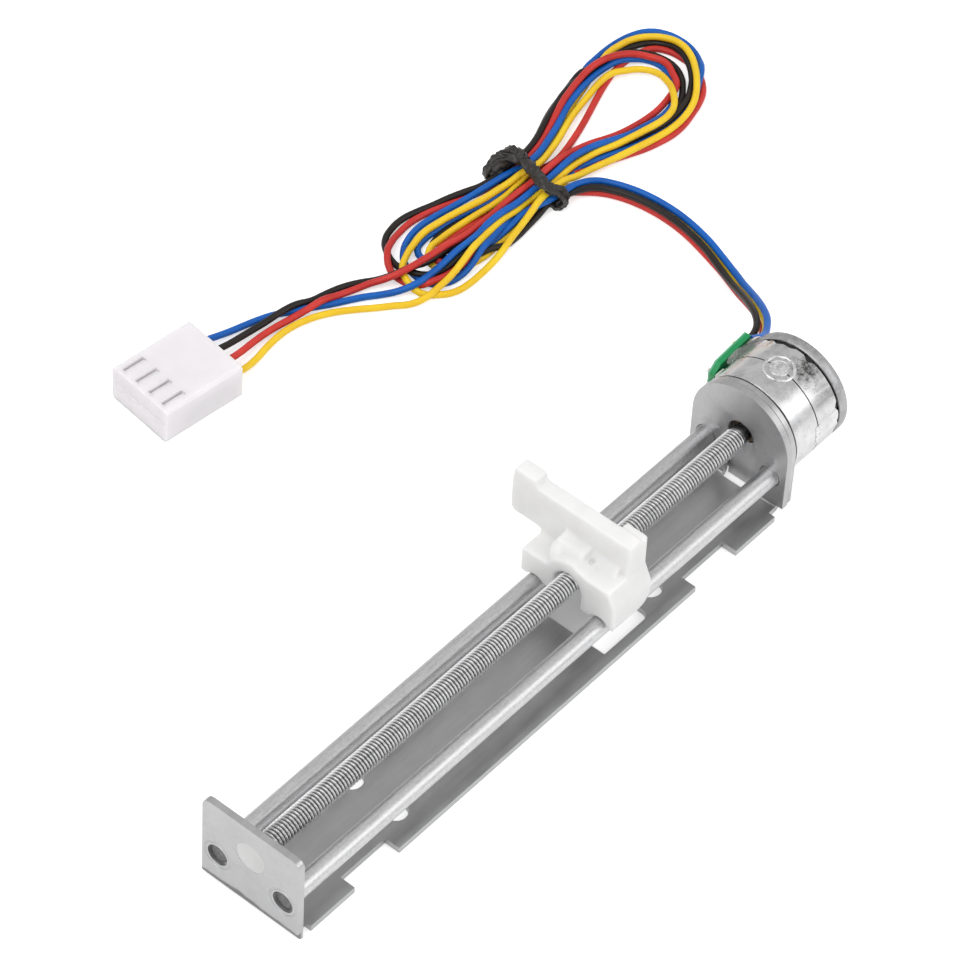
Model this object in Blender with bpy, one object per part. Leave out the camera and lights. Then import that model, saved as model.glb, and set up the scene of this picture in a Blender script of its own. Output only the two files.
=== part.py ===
"""Stepper motor linear slide: a lead screw driven carriage on two guide rods in a bent sheet bracket.

X runs along the screw towards the motor, Z is up. The origin is the middle of the bracket's underside.
"""

import math

import bmesh
import bpy
import numpy as np
from mathutils import Matrix, Vector

# Clearances
SEAT_GAP = 0.00015
RUNNING_GAP = 0.00025
WIRE_GAP = 0.0003

# Bracket, one bent sheet
BRACKET_LENGTH = 0.0923
BRACKET_WIDTH = 0.0153
BRACKET_SHEET = 0.00095
BEND_RADIUS = 0.0003
FRONT_EAR_HEIGHT = 0.0145
EAR_CORNER_RADIUS = 0.00115
NOTCH_DEPTH = 0.00225
NOTCH_LENGTH = 0.008
NOTCH_MIDDLE = 0.032
TAB_END_GAP = 0.0014
TAB_END_DEPTH = 0.0010
CORNER_RELIEF_HEIGHT = 0.0012
SLOT_HALF_WIDTH = 0.00195
SLOT_LENGTH = 0.0007
SLOT_HEIGHT = 0.00075
HOLE_RADIUS = 0.00155
HOLE_SPACING_X = 0.048
HOLE_SPACING_Y = 0.0071
WINDOW_NEAR = 0.01185
WINDOW_LENGTH = 0.0088
WINDOW_RIM = 0.00135
WINDOW_CORNER_RADIUS = 0.0012

# Guide rods
ROD_RADIUS = 0.0013
ROD_OFFSET = 0.00517
ROD_HEIGHT = 0.00564
ROD_END_RECESS = 0.00035

# Lead screw and its bearings
SCREW_HEIGHT = 0.00949
SCREW_RADIUS = 0.0015
SCREW_END_LENGTH = 0.0018
NECK_RADIUS = 0.0013
SHAFT_RADIUS = 0.00075
PIVOT_RADIUS = 0.00055
PIVOT_CLEARANCE = 0.0002
EAR_HOLE_CLEARANCE = 0.0007
KEYHOLE_HALF_WIDTH = 0.0030
KEYHOLE_TOP = 0.0071
KEYHOLE_BOTTOM = 0.0022
BEARING_RADIUS = 0.0021
BEARING_FLANGE_RADIUS = 0.0027
BEARING_FLANGE_LENGTH = 0.0005
BEARING_WALL = 0.0004

# Motor
MOTOR_RADIUS = 0.0075
FLANGE_SHEET = 0.0008
FLANGE_FOOT = 0.0002
CUP_LENGTH = 0.0043
CUP_WALL = 0.0005
CAP_LENGTH = 0.0015
CAP_WALL = 0.0005
BOSS_RADIUS = 0.0024
BOSS_LENGTH = 0.0011
BUSH_RADIUS = 0.0018
BUSH_FLANGE_RADIUS = 0.0027
BUSH_FLANGE_LENGTH = 0.0004
MAGNET_RADIUS = 0.0029
HUB_RADIUS = 0.0015
AIR_GAP = 0.00025
CLAW_THICKNESS = 0.00045
CLAW_COUNT = 5
CLAW_ROOT_HALF_ANGLE = math.radians(12.5)
CLAW_TIP_HALF_ANGLE = math.radians(6.5)
RING_SHEET = 0.0005
SPOOL_WALL = 0.0004
COIL_DEPTH = 0.0022
TERMINAL_HALF_WIDTH = 0.0022
TERMINAL_OUTSTAND = 0.00005
PIN_RADIUS = 0.0003
PIN_HALF_PITCH = 0.0013
PIN_DEPTH = 0.00055
PIN_TAIL = 0.0005
BOARD_THICKNESS = 0.0010
BOARD_INSET = 0.00215
BOARD_OVERHANG = 0.0006
BOARD_DROP = 0.00259
BOARD_HEIGHT = 0.0056
BOARD_RISE = 0.0007
BOARD_CORNER = 0.0012

# Carriage
CARRIAGE_FRONT = 0.01145
CARRIAGE_LENGTH = 0.0073
SADDLE_LENGTH = 0.0037
ARM_THICKNESS = 0.00235
ARM_REACH = 0.01247
ARM_TOP = 0.01755
ARM_TIP_TOP = 0.0187
ARM_TIP_LENGTH = 0.0037
ARM_UNDERSIDE = 0.0110
LEG_WALL = 0.0007
LEG_TOP = 0.0125
LEG_BOTTOM = 0.0062
LEG_CORNER_RADIUS = 0.0021
LOBE_TOP = 0.01073
LOBE_BOTTOM = 0.0066
NUT_WALL = 0.0020
NUT_HUMP_RISE = 0.0011
ARCH_HALF_WIDTH = 0.0021
ARCH_TOP = 0.0110
SHOULDER_DROP = 0.0024
SHOULDER_WIDTH = 0.0011

# Wires, plug and tie
WIRE_RADIUS = 0.00048
WIRE_PITCH = 0.0014
POINT_SPACING = 0.0028
PLUG_LENGTH = 0.01265
PLUG_WIDTH = 0.0107
PLUG_HEIGHT = 0.0056
PLUG_PITCH = 0.00254
PLUG_MIDDLE = (0.0085, 0.0620)
PLUG_TURN = math.radians(-7.0)
PLUG_CHAMFER = 0.0004
PLUG_SLOT_START = 0.0007
PLUG_SLOT_LENGTH = 0.0034
PLUG_SLOT_WIDTH = 0.0008
CAVITY_SIDE = 0.0016
CAVITY_LENGTH = 0.0105
CONTACT_SHEET = 0.0004
CONTACT_SETBACK = 0.0006
FLOOR_LIFT = 0.00005
HANK_HEIGHT = 0.0036
TIE_WIDTH = 0.0021
TIE_THICKNESS = 0.0007
TIE_MIDDLE = 0.0673
TIE_NEAR = 0.0474
TIE_KNOT_END = 0.0612
TIE_KNOT_RADIUS = 0.0014

# What follows from the sizes above
HALF_LENGTH = BRACKET_LENGTH / 2
HALF_WIDTH = BRACKET_WIDTH / 2
FRONT_EAR_INSIDE = -HALF_LENGTH + BRACKET_SHEET
REAR_EAR_INSIDE = HALF_LENGTH - BRACKET_SHEET
REAR_EAR_HEIGHT = SCREW_HEIGHT + HALF_WIDTH
ROD_BORE_RADIUS = ROD_RADIUS + RUNNING_GAP
EAR_HOLE_RADIUS = NECK_RADIUS + EAR_HOLE_CLEARANCE
CARRIAGE_BACK = CARRIAGE_FRONT + CARRIAGE_LENGTH
ARM_FRONT = CARRIAGE_FRONT + SADDLE_LENGTH
FLANGE_FRONT = HALF_LENGTH + SEAT_GAP
FLANGE_BACK = FLANGE_FRONT + FLANGE_SHEET
FRONT_CUP_START = FLANGE_BACK + SEAT_GAP
FRONT_CUP_END = FRONT_CUP_START + CUP_LENGTH
REAR_CUP_START = FRONT_CUP_END + SEAT_GAP
REAR_CUP_END = REAR_CUP_START + CUP_LENGTH
CAP_START = REAR_CUP_END + SEAT_GAP
CAP_END = CAP_START + CAP_LENGTH
CUP_BORE_RADIUS = MOTOR_RADIUS - CUP_WALL
CLAW_INNER_RADIUS = MAGNET_RADIUS + AIR_GAP
CLAW_OUTER_RADIUS = CLAW_INNER_RADIUS + CLAW_THICKNESS
SPOOL_BORE_RADIUS = CLAW_OUTER_RADIUS + SEAT_GAP
SPOOL_TUBE_RADIUS = SPOOL_BORE_RADIUS + SPOOL_WALL
SPOOL_FLANGE_RADIUS = CUP_BORE_RADIUS - SEAT_GAP
COIL_INNER_RADIUS = SPOOL_TUBE_RADIUS + SEAT_GAP
COIL_OUTER_RADIUS = COIL_INNER_RADIUS + COIL_DEPTH
SHAFT_BORE_RADIUS = SHAFT_RADIUS + PIVOT_CLEARANCE
BOARD_INSIDE = MOTOR_RADIUS + RUNNING_GAP
BOARD_OUTSIDE = BOARD_INSIDE + BOARD_THICKNESS


def make_material(name, colour, roughness, metallic):
    """A Principled material with the part's colour."""
    material = bpy.data.materials.new(name)
    material.use_nodes = True
    shader = material.node_tree.nodes["Principled BSDF"]
    shader.inputs["Base Color"].default_value = (*colour, 1.0)
    shader.inputs["Roughness"].default_value = roughness
    shader.inputs["Metallic"].default_value = metallic
    material.diffuse_color = (*colour, 1.0)
    return material


def arc(centre_a, centre_b, radius, start_deg, end_deg, count):
    """Points along an arc in a plane, both ends included."""
    angles = np.radians(np.linspace(start_deg, end_deg, count))
    return [(centre_a + radius * math.cos(t), centre_b + radius * math.sin(t)) for t in angles]


def box_outline(low_a, high_a, low_b, high_b):
    """The four corners of a rectangle."""
    return [(low_a, low_b), (high_a, low_b), (high_a, high_b), (low_a, high_b)]


def prism(bm, outline, axis, low, high):
    """Extrude an outline along an axis. The outline lies in the plane of the other two axes, in order."""
    along = "XYZ".index(axis)
    corners = []
    for a, b in outline:
        point = [a, b]
        point.insert(along, low)
        corners.append(bm.verts.new(point))
    face = bm.faces.new(corners)
    extruded = bmesh.ops.extrude_face_region(bm, geom=[face])
    shift = Vector((0, 0, 0))
    shift[along] = high - low
    moved = [item for item in extruded["geom"] if isinstance(item, bmesh.types.BMVert)]
    bmesh.ops.translate(bm, verts=moved, vec=shift)


def turn(bm, profile, height, steps, closed):
    """Spin a profile of (x, radius) points about the X line at this height."""
    points = [bm.verts.new((x, 0, height + radius)) for x, radius in profile]
    pairs = list(zip(points, points[1:]))
    if closed:
        pairs.append((points[-1], points[0]))
    edges = [bm.edges.new(pair) for pair in pairs]
    bmesh.ops.spin(
        bm,
        geom=points + edges,
        cent=(0, 0, height),
        axis=(1, 0, 0),
        angle=2 * math.pi,
        steps=steps,
        use_merge=True,
    )


def tube(bm, start, end, inner, outer, height, steps):
    """A plain ring between two radii."""
    turn(bm, [(start, inner), (end, inner), (end, outer), (start, outer)], height, steps, True)


def rod(bm, start, end, radius, height, steps, bevel=0.0):
    """A plain round bar on the X line at this height, with bevelled ends."""
    profile = [(start, 0)]
    if bevel:
        profile += [(start, radius - bevel), (start + bevel, radius), (end - bevel, radius), (end, radius - bevel)]
    else:
        profile += [(start, radius), (end, radius)]
    profile.append((end, 0))
    turn(bm, profile, height, steps, False)


def finish(bm, name, material=None, angle=35.0):
    """Close the mesh up, face it outwards and make its object."""
    bmesh.ops.remove_doubles(bm, verts=bm.verts, dist=1e-7)
    bmesh.ops.dissolve_degenerate(bm, edges=bm.edges, dist=1e-7)
    bmesh.ops.recalc_face_normals(bm, faces=bm.faces)
    mesh = bpy.data.meshes.new(name)
    bm.to_mesh(mesh)
    bm.free()
    mesh.shade_smooth()
    mesh.set_sharp_from_angle(angle=math.radians(angle))
    if material:
        mesh.materials.append(material)
    piece = bpy.data.objects.new(name, mesh)
    bpy.context.scene.collection.objects.link(piece)
    return piece


def combine(piece, tool, operation):
    """Cut or join with a Boolean, and take the tool away."""
    modifier = piece.modifiers.new("shape", "BOOLEAN")
    modifier.operation = operation
    modifier.solver = "EXACT"
    modifier.object = tool
    bpy.context.view_layer.update()
    shown = piece.evaluated_get(bpy.context.evaluated_depsgraph_get())
    mesh = bpy.data.meshes.new_from_object(shown)
    piece.modifiers.clear()
    piece.data = mesh
    bpy.data.objects.remove(tool)


def build_bracket(material):
    """The base and both ears as one bent profile, then the holes, notches and ear outlines are cut."""
    outside = BEND_RADIUS + BRACKET_SHEET
    bend = HALF_LENGTH - outside
    profile = [(-HALF_LENGTH, FRONT_EAR_HEIGHT)]
    profile += arc(-bend, outside, outside, 180, 270, 6)
    profile += arc(bend, outside, outside, 270, 360, 6)
    profile += [(HALF_LENGTH, REAR_EAR_HEIGHT), (REAR_EAR_INSIDE, REAR_EAR_HEIGHT)]
    profile += arc(bend, outside, BEND_RADIUS, 0, -90, 4)
    profile += arc(-bend, outside, BEND_RADIUS, 270, 180, 4)
    profile.append((FRONT_EAR_INSIDE, FRONT_EAR_HEIGHT))
    bm = bmesh.new()
    prism(bm, profile, "Y", -HALF_WIDTH, HALF_WIDTH)
    bracket = finish(bm, "bracket", material)

    bm = bmesh.new()
    clear = BRACKET_WIDTH
    through = (-clear, BRACKET_SHEET + BEND_RADIUS)
    for side in (-1, 1):
        edge = side * (HALF_WIDTH - NOTCH_DEPTH)
        for end in (-1, 1):
            middle = end * NOTCH_MIDDLE
            notch = box_outline(middle - NOTCH_LENGTH / 2, middle + NOTCH_LENGTH / 2, edge, edge + side * clear)
            prism(bm, notch, "Z", *through)
            hole = arc(end * HOLE_SPACING_X / 2, side * HOLE_SPACING_Y / 2, HOLE_RADIUS, 0, 345, 24)
            prism(bm, hole, "Z", *through)
        relief_edge = side * (HALF_WIDTH - TAB_END_DEPTH)
        front_relief = box_outline(
            FRONT_EAR_INSIDE, FRONT_EAR_INSIDE + TAB_END_GAP, relief_edge, relief_edge + side * clear
        )
        prism(bm, front_relief, "Z", *through)
        rear_relief = box_outline(REAR_EAR_INSIDE - TAB_END_GAP, HALF_LENGTH + clear, -clear, CORNER_RELIEF_HEIGHT)
        prism(bm, rear_relief, "Y", relief_edge, relief_edge + side * clear)

        corner_y = side * (HALF_WIDTH - EAR_CORNER_RADIUS)
        corner_z = FRONT_EAR_HEIGHT - EAR_CORNER_RADIUS
        corner = arc(corner_y, corner_z, EAR_CORNER_RADIUS, 90 - side * 90, 90, 6)
        corner += [(corner_y, corner_z + clear), (corner_y + side * clear, corner_z + clear)]
        corner.append((corner_y + side * clear, corner_z))
        prism(bm, corner, "X", -HALF_LENGTH - clear, FRONT_EAR_INSIDE + clear)
    window_side = HALF_WIDTH - WINDOW_RIM
    window_far = WINDOW_NEAR + WINDOW_LENGTH
    corner_x = window_far - WINDOW_CORNER_RADIUS
    corner_y = window_side - WINDOW_CORNER_RADIUS
    window = [(WINDOW_NEAR, window_side), (WINDOW_NEAR, -window_side)]
    window += arc(corner_x, -corner_y, WINDOW_CORNER_RADIUS, -90, 0, 5)
    window += arc(corner_x, corner_y, WINDOW_CORNER_RADIUS, 0, 90, 5)
    prism(bm, window, "Z", *through)
    combine(bracket, finish(bm, "cut"), "DIFFERENCE")

    bm = bmesh.new()
    slot_tops = ((-1, FRONT_EAR_INSIDE, SLOT_HEIGHT), (1, REAR_EAR_INSIDE, KEYHOLE_BOTTOM + BEND_RADIUS))
    for end, inside, height in slot_tops:
        start = inside - end * (SLOT_LENGTH - BEND_RADIUS)
        slot = [
            (start, -clear),
            (inside + end * clear, -clear),
            (inside + end * clear, height),
            (inside, height),
            (inside, BRACKET_SHEET + BEND_RADIUS),
            (start, BRACKET_SHEET + BEND_RADIUS),
        ]
        prism(bm, slot, "Y", -SLOT_HALF_WIDTH, SLOT_HALF_WIDTH)
        for side in (-1, 1):
            bore = arc(side * ROD_OFFSET, ROD_HEIGHT, ROD_BORE_RADIUS, 0, 345, 24)
            prism(bm, bore, "X", inside - end * BRACKET_SHEET, inside + end * clear)
    seat = arc(0, SCREW_HEIGHT, BEARING_RADIUS + SEAT_GAP, 0, 350, 36)
    prism(bm, seat, "X", -HALF_LENGTH - clear, FRONT_EAR_INSIDE + BRACKET_SHEET)
    combine(bracket, finish(bm, "cut"), "DIFFERENCE")

    # The rear ear has a round top about the screw, and a keyhole that is open below the screw
    bm = bmesh.new()
    ear = arc(0, SCREW_HEIGHT, HALF_WIDTH, 0, 180, 33)
    ear += [(-clear, SCREW_HEIGHT), (-clear, SCREW_HEIGHT + clear), (clear, SCREW_HEIGHT + clear), (clear, SCREW_HEIGHT)]
    prism(bm, ear, "X", REAR_EAR_INSIDE - BRACKET_SHEET, HALF_LENGTH + clear)
    combine(bracket, finish(bm, "cut"), "DIFFERENCE")
    bm = bmesh.new()
    throat = EAR_HOLE_RADIUS * math.cos(math.radians(25))
    keyhole = arc(0, SCREW_HEIGHT, EAR_HOLE_RADIUS, -25, 205, 24)
    keyhole += [
        (-throat, KEYHOLE_TOP),
        (-KEYHOLE_HALF_WIDTH, KEYHOLE_TOP - (KEYHOLE_HALF_WIDTH - throat) / 2),
        (-KEYHOLE_HALF_WIDTH, KEYHOLE_BOTTOM),
        (KEYHOLE_HALF_WIDTH, KEYHOLE_BOTTOM),
        (KEYHOLE_HALF_WIDTH, KEYHOLE_TOP - (KEYHOLE_HALF_WIDTH - throat) / 2),
        (throat, KEYHOLE_TOP),
    ]
    prism(bm, keyhole, "X", REAR_EAR_INSIDE - BRACKET_SHEET, HALF_LENGTH + clear)
    combine(bracket, finish(bm, "cut"), "DIFFERENCE")
    return bracket


def build_guide_rod(name, side, material):
    """A polished rod that passes through both ears, its front end a little inside the ear's face."""
    bm = bmesh.new()
    rod(bm, -HALF_LENGTH + ROD_END_RECESS, HALF_LENGTH - SEAT_GAP, ROD_RADIUS, 0, 24, ROD_RADIUS / 8)
    bmesh.ops.translate(bm, verts=bm.verts, vec=(0, side * ROD_OFFSET, ROD_HEIGHT))
    return finish(bm, name, material)


def build_end_bearing(material):
    """A plastic plug in the front ear, with a blind hole for the screw's pivot."""
    flange_end = FRONT_EAR_INSIDE + SEAT_GAP + BEARING_FLANGE_LENGTH
    bore = PIVOT_RADIUS + PIVOT_CLEARANCE
    bm = bmesh.new()
    profile = [
        (-HALF_LENGTH, 0),
        (-HALF_LENGTH, BEARING_RADIUS),
        (FRONT_EAR_INSIDE + SEAT_GAP, BEARING_RADIUS),
        (FRONT_EAR_INSIDE + SEAT_GAP, BEARING_FLANGE_RADIUS),
        (flange_end, BEARING_FLANGE_RADIUS),
        (flange_end, bore),
        (-HALF_LENGTH + BEARING_WALL, bore),
        (-HALF_LENGTH + BEARING_WALL, 0),
    ]
    turn(bm, profile, SCREW_HEIGHT, 28, False)
    return finish(bm, "end_bearing", material)


def build_lead_screw(material):
    """Pivot, screw, neck and motor shaft in one turned piece."""
    pivot_start = -HALF_LENGTH + BEARING_WALL + RUNNING_GAP
    thread_start = FRONT_EAR_INSIDE + SEAT_GAP + BEARING_FLANGE_LENGTH + RUNNING_GAP
    thread_end = REAR_EAR_INSIDE - SCREW_END_LENGTH
    neck_end = HALF_LENGTH - RUNNING_GAP
    shaft_end = CAP_END + BOSS_LENGTH - CAP_WALL - 2 * RUNNING_GAP
    chamfer = SCREW_RADIUS - NECK_RADIUS
    profile = [
        (pivot_start, 0),
        (pivot_start, PIVOT_RADIUS / 2),
        (pivot_start + PIVOT_RADIUS / 2, PIVOT_RADIUS),
        (thread_start, PIVOT_RADIUS),
        (thread_start, SCREW_RADIUS - chamfer),
        (thread_start + chamfer, SCREW_RADIUS),
        (thread_end - chamfer, SCREW_RADIUS),
        (thread_end, NECK_RADIUS),
        (neck_end, NECK_RADIUS),
        (neck_end, SHAFT_RADIUS),
        (shaft_end - PIVOT_RADIUS / 2, SHAFT_RADIUS),
        (shaft_end, SHAFT_RADIUS - PIVOT_RADIUS / 2),
        (shaft_end, 0),
    ]
    bm = bmesh.new()
    turn(bm, profile, SCREW_HEIGHT, 28, False)
    return finish(bm, "lead_screw", material)


def build_motor_flange(material):
    """The sheet behind the rear ear, with the ear's round outline, which holds the front bush."""
    outline = arc(0, SCREW_HEIGHT, MOTOR_RADIUS, 0, 180, 33)
    outline += [(-MOTOR_RADIUS, CORNER_RELIEF_HEIGHT), (-SLOT_HALF_WIDTH, CORNER_RELIEF_HEIGHT)]
    outline += [(-SLOT_HALF_WIDTH, FLANGE_FOOT), (SLOT_HALF_WIDTH, FLANGE_FOOT)]
    outline += [(SLOT_HALF_WIDTH, CORNER_RELIEF_HEIGHT), (MOTOR_RADIUS, CORNER_RELIEF_HEIGHT)]
    bm = bmesh.new()
    prism(bm, outline, "X", FLANGE_FRONT, FLANGE_BACK)
    flange = finish(bm, "motor_flange", material)
    bm = bmesh.new()
    rod(bm, HALF_LENGTH - MOTOR_RADIUS, FLANGE_BACK + MOTOR_RADIUS, BUSH_RADIUS + SEAT_GAP, SCREW_HEIGHT, 28)
    combine(flange, finish(bm, "cut"), "DIFFERENCE")
    return flange


def add_claws(bm, root, tip, turn_by):
    """Tapered pole fingers round the rotor, from their root plane to their tips."""
    columns = 4
    for index in range(CLAW_COUNT):
        middle = turn_by + 2 * math.pi * index / CLAW_COUNT
        rings = []
        for x, half in ((root, CLAW_ROOT_HALF_ANGLE), (tip, CLAW_TIP_HALF_ANGLE)):
            angles = np.linspace(middle - half, middle + half, columns)
            inner = [(CLAW_INNER_RADIUS, t) for t in angles]
            outer = [(CLAW_OUTER_RADIUS, t) for t in reversed(angles)]
            ring = []
            for radius, t in inner + outer:
                ring.append(bm.verts.new((x, radius * math.cos(t), SCREW_HEIGHT + radius * math.sin(t))))
            rings.append(ring)
        edges = []
        for ring in rings:
            face = bm.faces.new(ring)
            edges += list(face.edges)
        bmesh.ops.bridge_loops(bm, edges=edges)


def cup_profile(wall_side, rim, wall_direction):
    """Half section of a stator cup: a round wall, and an end wall with a hole for the rotor."""
    inner_wall = wall_side + wall_direction * CUP_WALL
    hole = CLAW_INNER_RADIUS - AIR_GAP / 2
    return [
        (wall_side, hole),
        (wall_side, MOTOR_RADIUS - CUP_WALL / 2),
        (wall_side + wall_direction * CUP_WALL / 2, MOTOR_RADIUS),
        (rim, MOTOR_RADIUS),
        (rim, CUP_BORE_RADIUS),
        (inner_wall, CUP_BORE_RADIUS),
        (inner_wall, hole),
    ]


def build_stator_cup(name, wall_side, rim, turn_by, material):
    """Drawn steel cup with pole fingers bent in from its end wall and a slot for the terminals."""
    direction = 1 if rim > wall_side else -1
    bm = bmesh.new()
    turn(bm, cup_profile(wall_side, rim, direction), SCREW_HEIGHT, 48, True)
    cup = finish(bm, name, material)
    bm = bmesh.new()
    tip = rim - direction * (RING_SHEET + 2 * SEAT_GAP)
    add_claws(bm, wall_side + direction * CUP_WALL / 2, tip, turn_by)
    combine(cup, finish(bm, "claws"), "UNION")
    bm = bmesh.new()
    half = TERMINAL_HALF_WIDTH + RUNNING_GAP
    slot_start = rim - direction * (RING_SHEET + 2 * SEAT_GAP + SPOOL_WALL * 4 + RUNNING_GAP)
    slot = box_outline(slot_start, rim + direction * CUP_WALL, SCREW_HEIGHT - half, SCREW_HEIGHT + half)
    prism(bm, slot, "Y", CUP_BORE_RADIUS - CUP_WALL * 2, MOTOR_RADIUS + CUP_WALL)
    combine(cup, finish(bm, "cut"), "DIFFERENCE")
    return cup


def build_stator_ring(name, face, direction, far_wall, turn_by, material):
    """Flat ring at the seam, with pole fingers that reach between those of its cup."""
    inner_face = face - direction * RING_SHEET
    hole = CLAW_INNER_RADIUS - AIR_GAP / 2
    bm = bmesh.new()
    tube(bm, inner_face, face, hole, CUP_BORE_RADIUS - SEAT_GAP, SCREW_HEIGHT, 48)
    ring = finish(bm, name, material)
    bm = bmesh.new()
    add_claws(bm, face - direction * RING_SHEET / 2, far_wall + direction * 2 * SEAT_GAP, turn_by)
    combine(ring, finish(bm, "claws"), "UNION")
    return ring


def build_bobbin(name, near_wall, seam_side, direction, material):
    """Plastic spool with a terminal block that comes out through the cup's slot."""
    low, high = sorted((near_wall, seam_side))
    bm = bmesh.new()
    profile = [
        (low, SPOOL_BORE_RADIUS),
        (high, SPOOL_BORE_RADIUS),
        (high, SPOOL_FLANGE_RADIUS),
        (high - SPOOL_WALL, SPOOL_FLANGE_RADIUS),
        (high - SPOOL_WALL, SPOOL_TUBE_RADIUS),
        (low + SPOOL_WALL, SPOOL_TUBE_RADIUS),
        (low + SPOOL_WALL, SPOOL_FLANGE_RADIUS),
        (low, SPOOL_FLANGE_RADIUS),
    ]
    turn(bm, profile, SCREW_HEIGHT, 40, True)
    bobbin = finish(bm, name, material)
    bm = bmesh.new()
    block_start = seam_side - direction * SPOOL_WALL * 4
    block_low, block_high = SCREW_HEIGHT - TERMINAL_HALF_WIDTH, SCREW_HEIGHT + TERMINAL_HALF_WIDTH
    block = box_outline(block_start, seam_side, block_low, block_high)
    prism(bm, block, "Y", COIL_OUTER_RADIUS + SEAT_GAP / 2, MOTOR_RADIUS + TERMINAL_OUTSTAND)
    combine(bobbin, finish(bm, "block"), "UNION")
    bm = bmesh.new()
    for side in (-1, 1):
        pin_z = SCREW_HEIGHT + side * PIN_HALF_PITCH
        hole = arc(pin_middle(seam_side, direction), pin_z, PIN_RADIUS + SEAT_GAP, 0, 330, 12)
        depth = PIN_DEPTH + SEAT_GAP
        prism(bm, hole, "Y", MOTOR_RADIUS + TERMINAL_OUTSTAND - depth, MOTOR_RADIUS + PIN_DEPTH)
    combine(bobbin, finish(bm, "cut"), "DIFFERENCE")
    return bobbin


def pin_middle(seam_side, direction):
    """Where a bobbin's pins stand along the motor."""
    return seam_side - direction * SPOOL_WALL * 2


def build_coil(name, near_wall, seam_side, material):
    """Copper winding between the spool's flanges."""
    low, high = sorted((near_wall, seam_side))
    start = low + SPOOL_WALL + SEAT_GAP
    end = high - SPOOL_WALL - SEAT_GAP
    bm = bmesh.new()
    tube(bm, start, end, COIL_INNER_RADIUS, COIL_OUTER_RADIUS, SCREW_HEIGHT, 32)
    return finish(bm, name, material)


def build_motor_cap(material):
    """Back plate with a rim, and a round boss that holds the rear bush."""
    boss_end = CAP_END + BOSS_LENGTH
    bore = BUSH_RADIUS + SEAT_GAP
    bm = bmesh.new()
    profile = [
        (CAP_START, CUP_BORE_RADIUS),
        (CAP_START, MOTOR_RADIUS),
        (CAP_END - CAP_WALL / 2, MOTOR_RADIUS),
        (CAP_END, MOTOR_RADIUS - CAP_WALL / 2),
        (CAP_END, BOSS_RADIUS),
        (boss_end - CAP_WALL / 2, BOSS_RADIUS),
        (boss_end, BOSS_RADIUS - CAP_WALL / 2),
        (boss_end, 0),
        (boss_end - CAP_WALL, 0),
        (boss_end - CAP_WALL, bore),
        (CAP_END - CAP_WALL, bore),
        (CAP_END - CAP_WALL, CUP_BORE_RADIUS),
        (CAP_START, CUP_BORE_RADIUS),
    ]
    turn(bm, profile, SCREW_HEIGHT, 48, False)
    return finish(bm, "motor_cap", material)


def build_front_bush(material):
    """Flanged bush that sits in the motor flange."""
    start = FLANGE_FRONT
    seat = FLANGE_BACK + SEAT_GAP
    bm = bmesh.new()
    profile = [
        (start, SHAFT_BORE_RADIUS),
        (seat + BUSH_FLANGE_LENGTH, SHAFT_BORE_RADIUS),
        (seat + BUSH_FLANGE_LENGTH, BUSH_FLANGE_RADIUS),
        (seat, BUSH_FLANGE_RADIUS),
        (seat, BUSH_RADIUS),
        (start, BUSH_RADIUS),
    ]
    turn(bm, profile, SCREW_HEIGHT, 24, True)
    return finish(bm, "bush_front", material)


def build_rear_bush(material):
    """Plain bush in the cap's boss."""
    end = CAP_END + BOSS_LENGTH - CAP_WALL - SEAT_GAP
    bm = bmesh.new()
    tube(bm, CAP_END - CAP_WALL, end, SHAFT_BORE_RADIUS, BUSH_RADIUS, SCREW_HEIGHT, 24)
    return finish(bm, "bush_rear", material)


def rotor_span():
    """Start and end of the magnet along the motor."""
    start = FRONT_CUP_START + SEAT_GAP + BUSH_FLANGE_LENGTH + RUNNING_GAP
    return start, REAR_CUP_END - CUP_WALL


def build_rotor_magnet(material):
    """Ring magnet inside the pole fingers."""
    start, end = rotor_span()
    bm = bmesh.new()
    tube(bm, start, end, HUB_RADIUS + SEAT_GAP, MAGNET_RADIUS, SCREW_HEIGHT, 32)
    return finish(bm, "rotor_magnet", material)


def build_rotor_hub(material):
    """Plastic hub that ties the magnet to the shaft."""
    start, end = rotor_span()
    bm = bmesh.new()
    tube(bm, start, end, SHAFT_RADIUS + SEAT_GAP, HUB_RADIUS, SCREW_HEIGHT, 24)
    return finish(bm, "rotor_hub", material)


def terminal_stations():
    """The two bobbins' pin positions along the motor."""
    front_seam = FRONT_CUP_END - RING_SHEET - SEAT_GAP
    rear_seam = REAR_CUP_START + RING_SHEET + SEAT_GAP
    return pin_middle(front_seam, 1), pin_middle(rear_seam, -1)


def build_terminal_board(material):
    """Board that stands against the side of the motor, on the bobbins' pins, a little higher at the rear."""
    start = FRONT_CUP_START + BOARD_INSET
    end = REAR_CUP_END + BOARD_OVERHANG
    low = SCREW_HEIGHT - BOARD_DROP
    high = low + BOARD_HEIGHT
    outline = [
        (start, low + BOARD_CORNER),
        (start + BOARD_CORNER, low),
        (end, low + BOARD_RISE),
        (end, high + BOARD_RISE),
        (start + BOARD_CORNER, high),
        (start, high - BOARD_CORNER),
    ]
    bm = bmesh.new()
    prism(bm, outline, "Y", BOARD_INSIDE, BOARD_OUTSIDE)
    board = finish(bm, "terminal_board", material)
    bm = bmesh.new()
    for station in terminal_stations():
        for side in (-1, 1):
            hole = arc(station, SCREW_HEIGHT + side * PIN_HALF_PITCH, PIN_RADIUS + SEAT_GAP, 0, 330, 12)
            prism(bm, hole, "Y", BOARD_INSIDE - BOARD_THICKNESS, BOARD_OUTSIDE + BOARD_THICKNESS)
    combine(board, finish(bm, "cut"), "DIFFERENCE")
    return board


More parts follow.
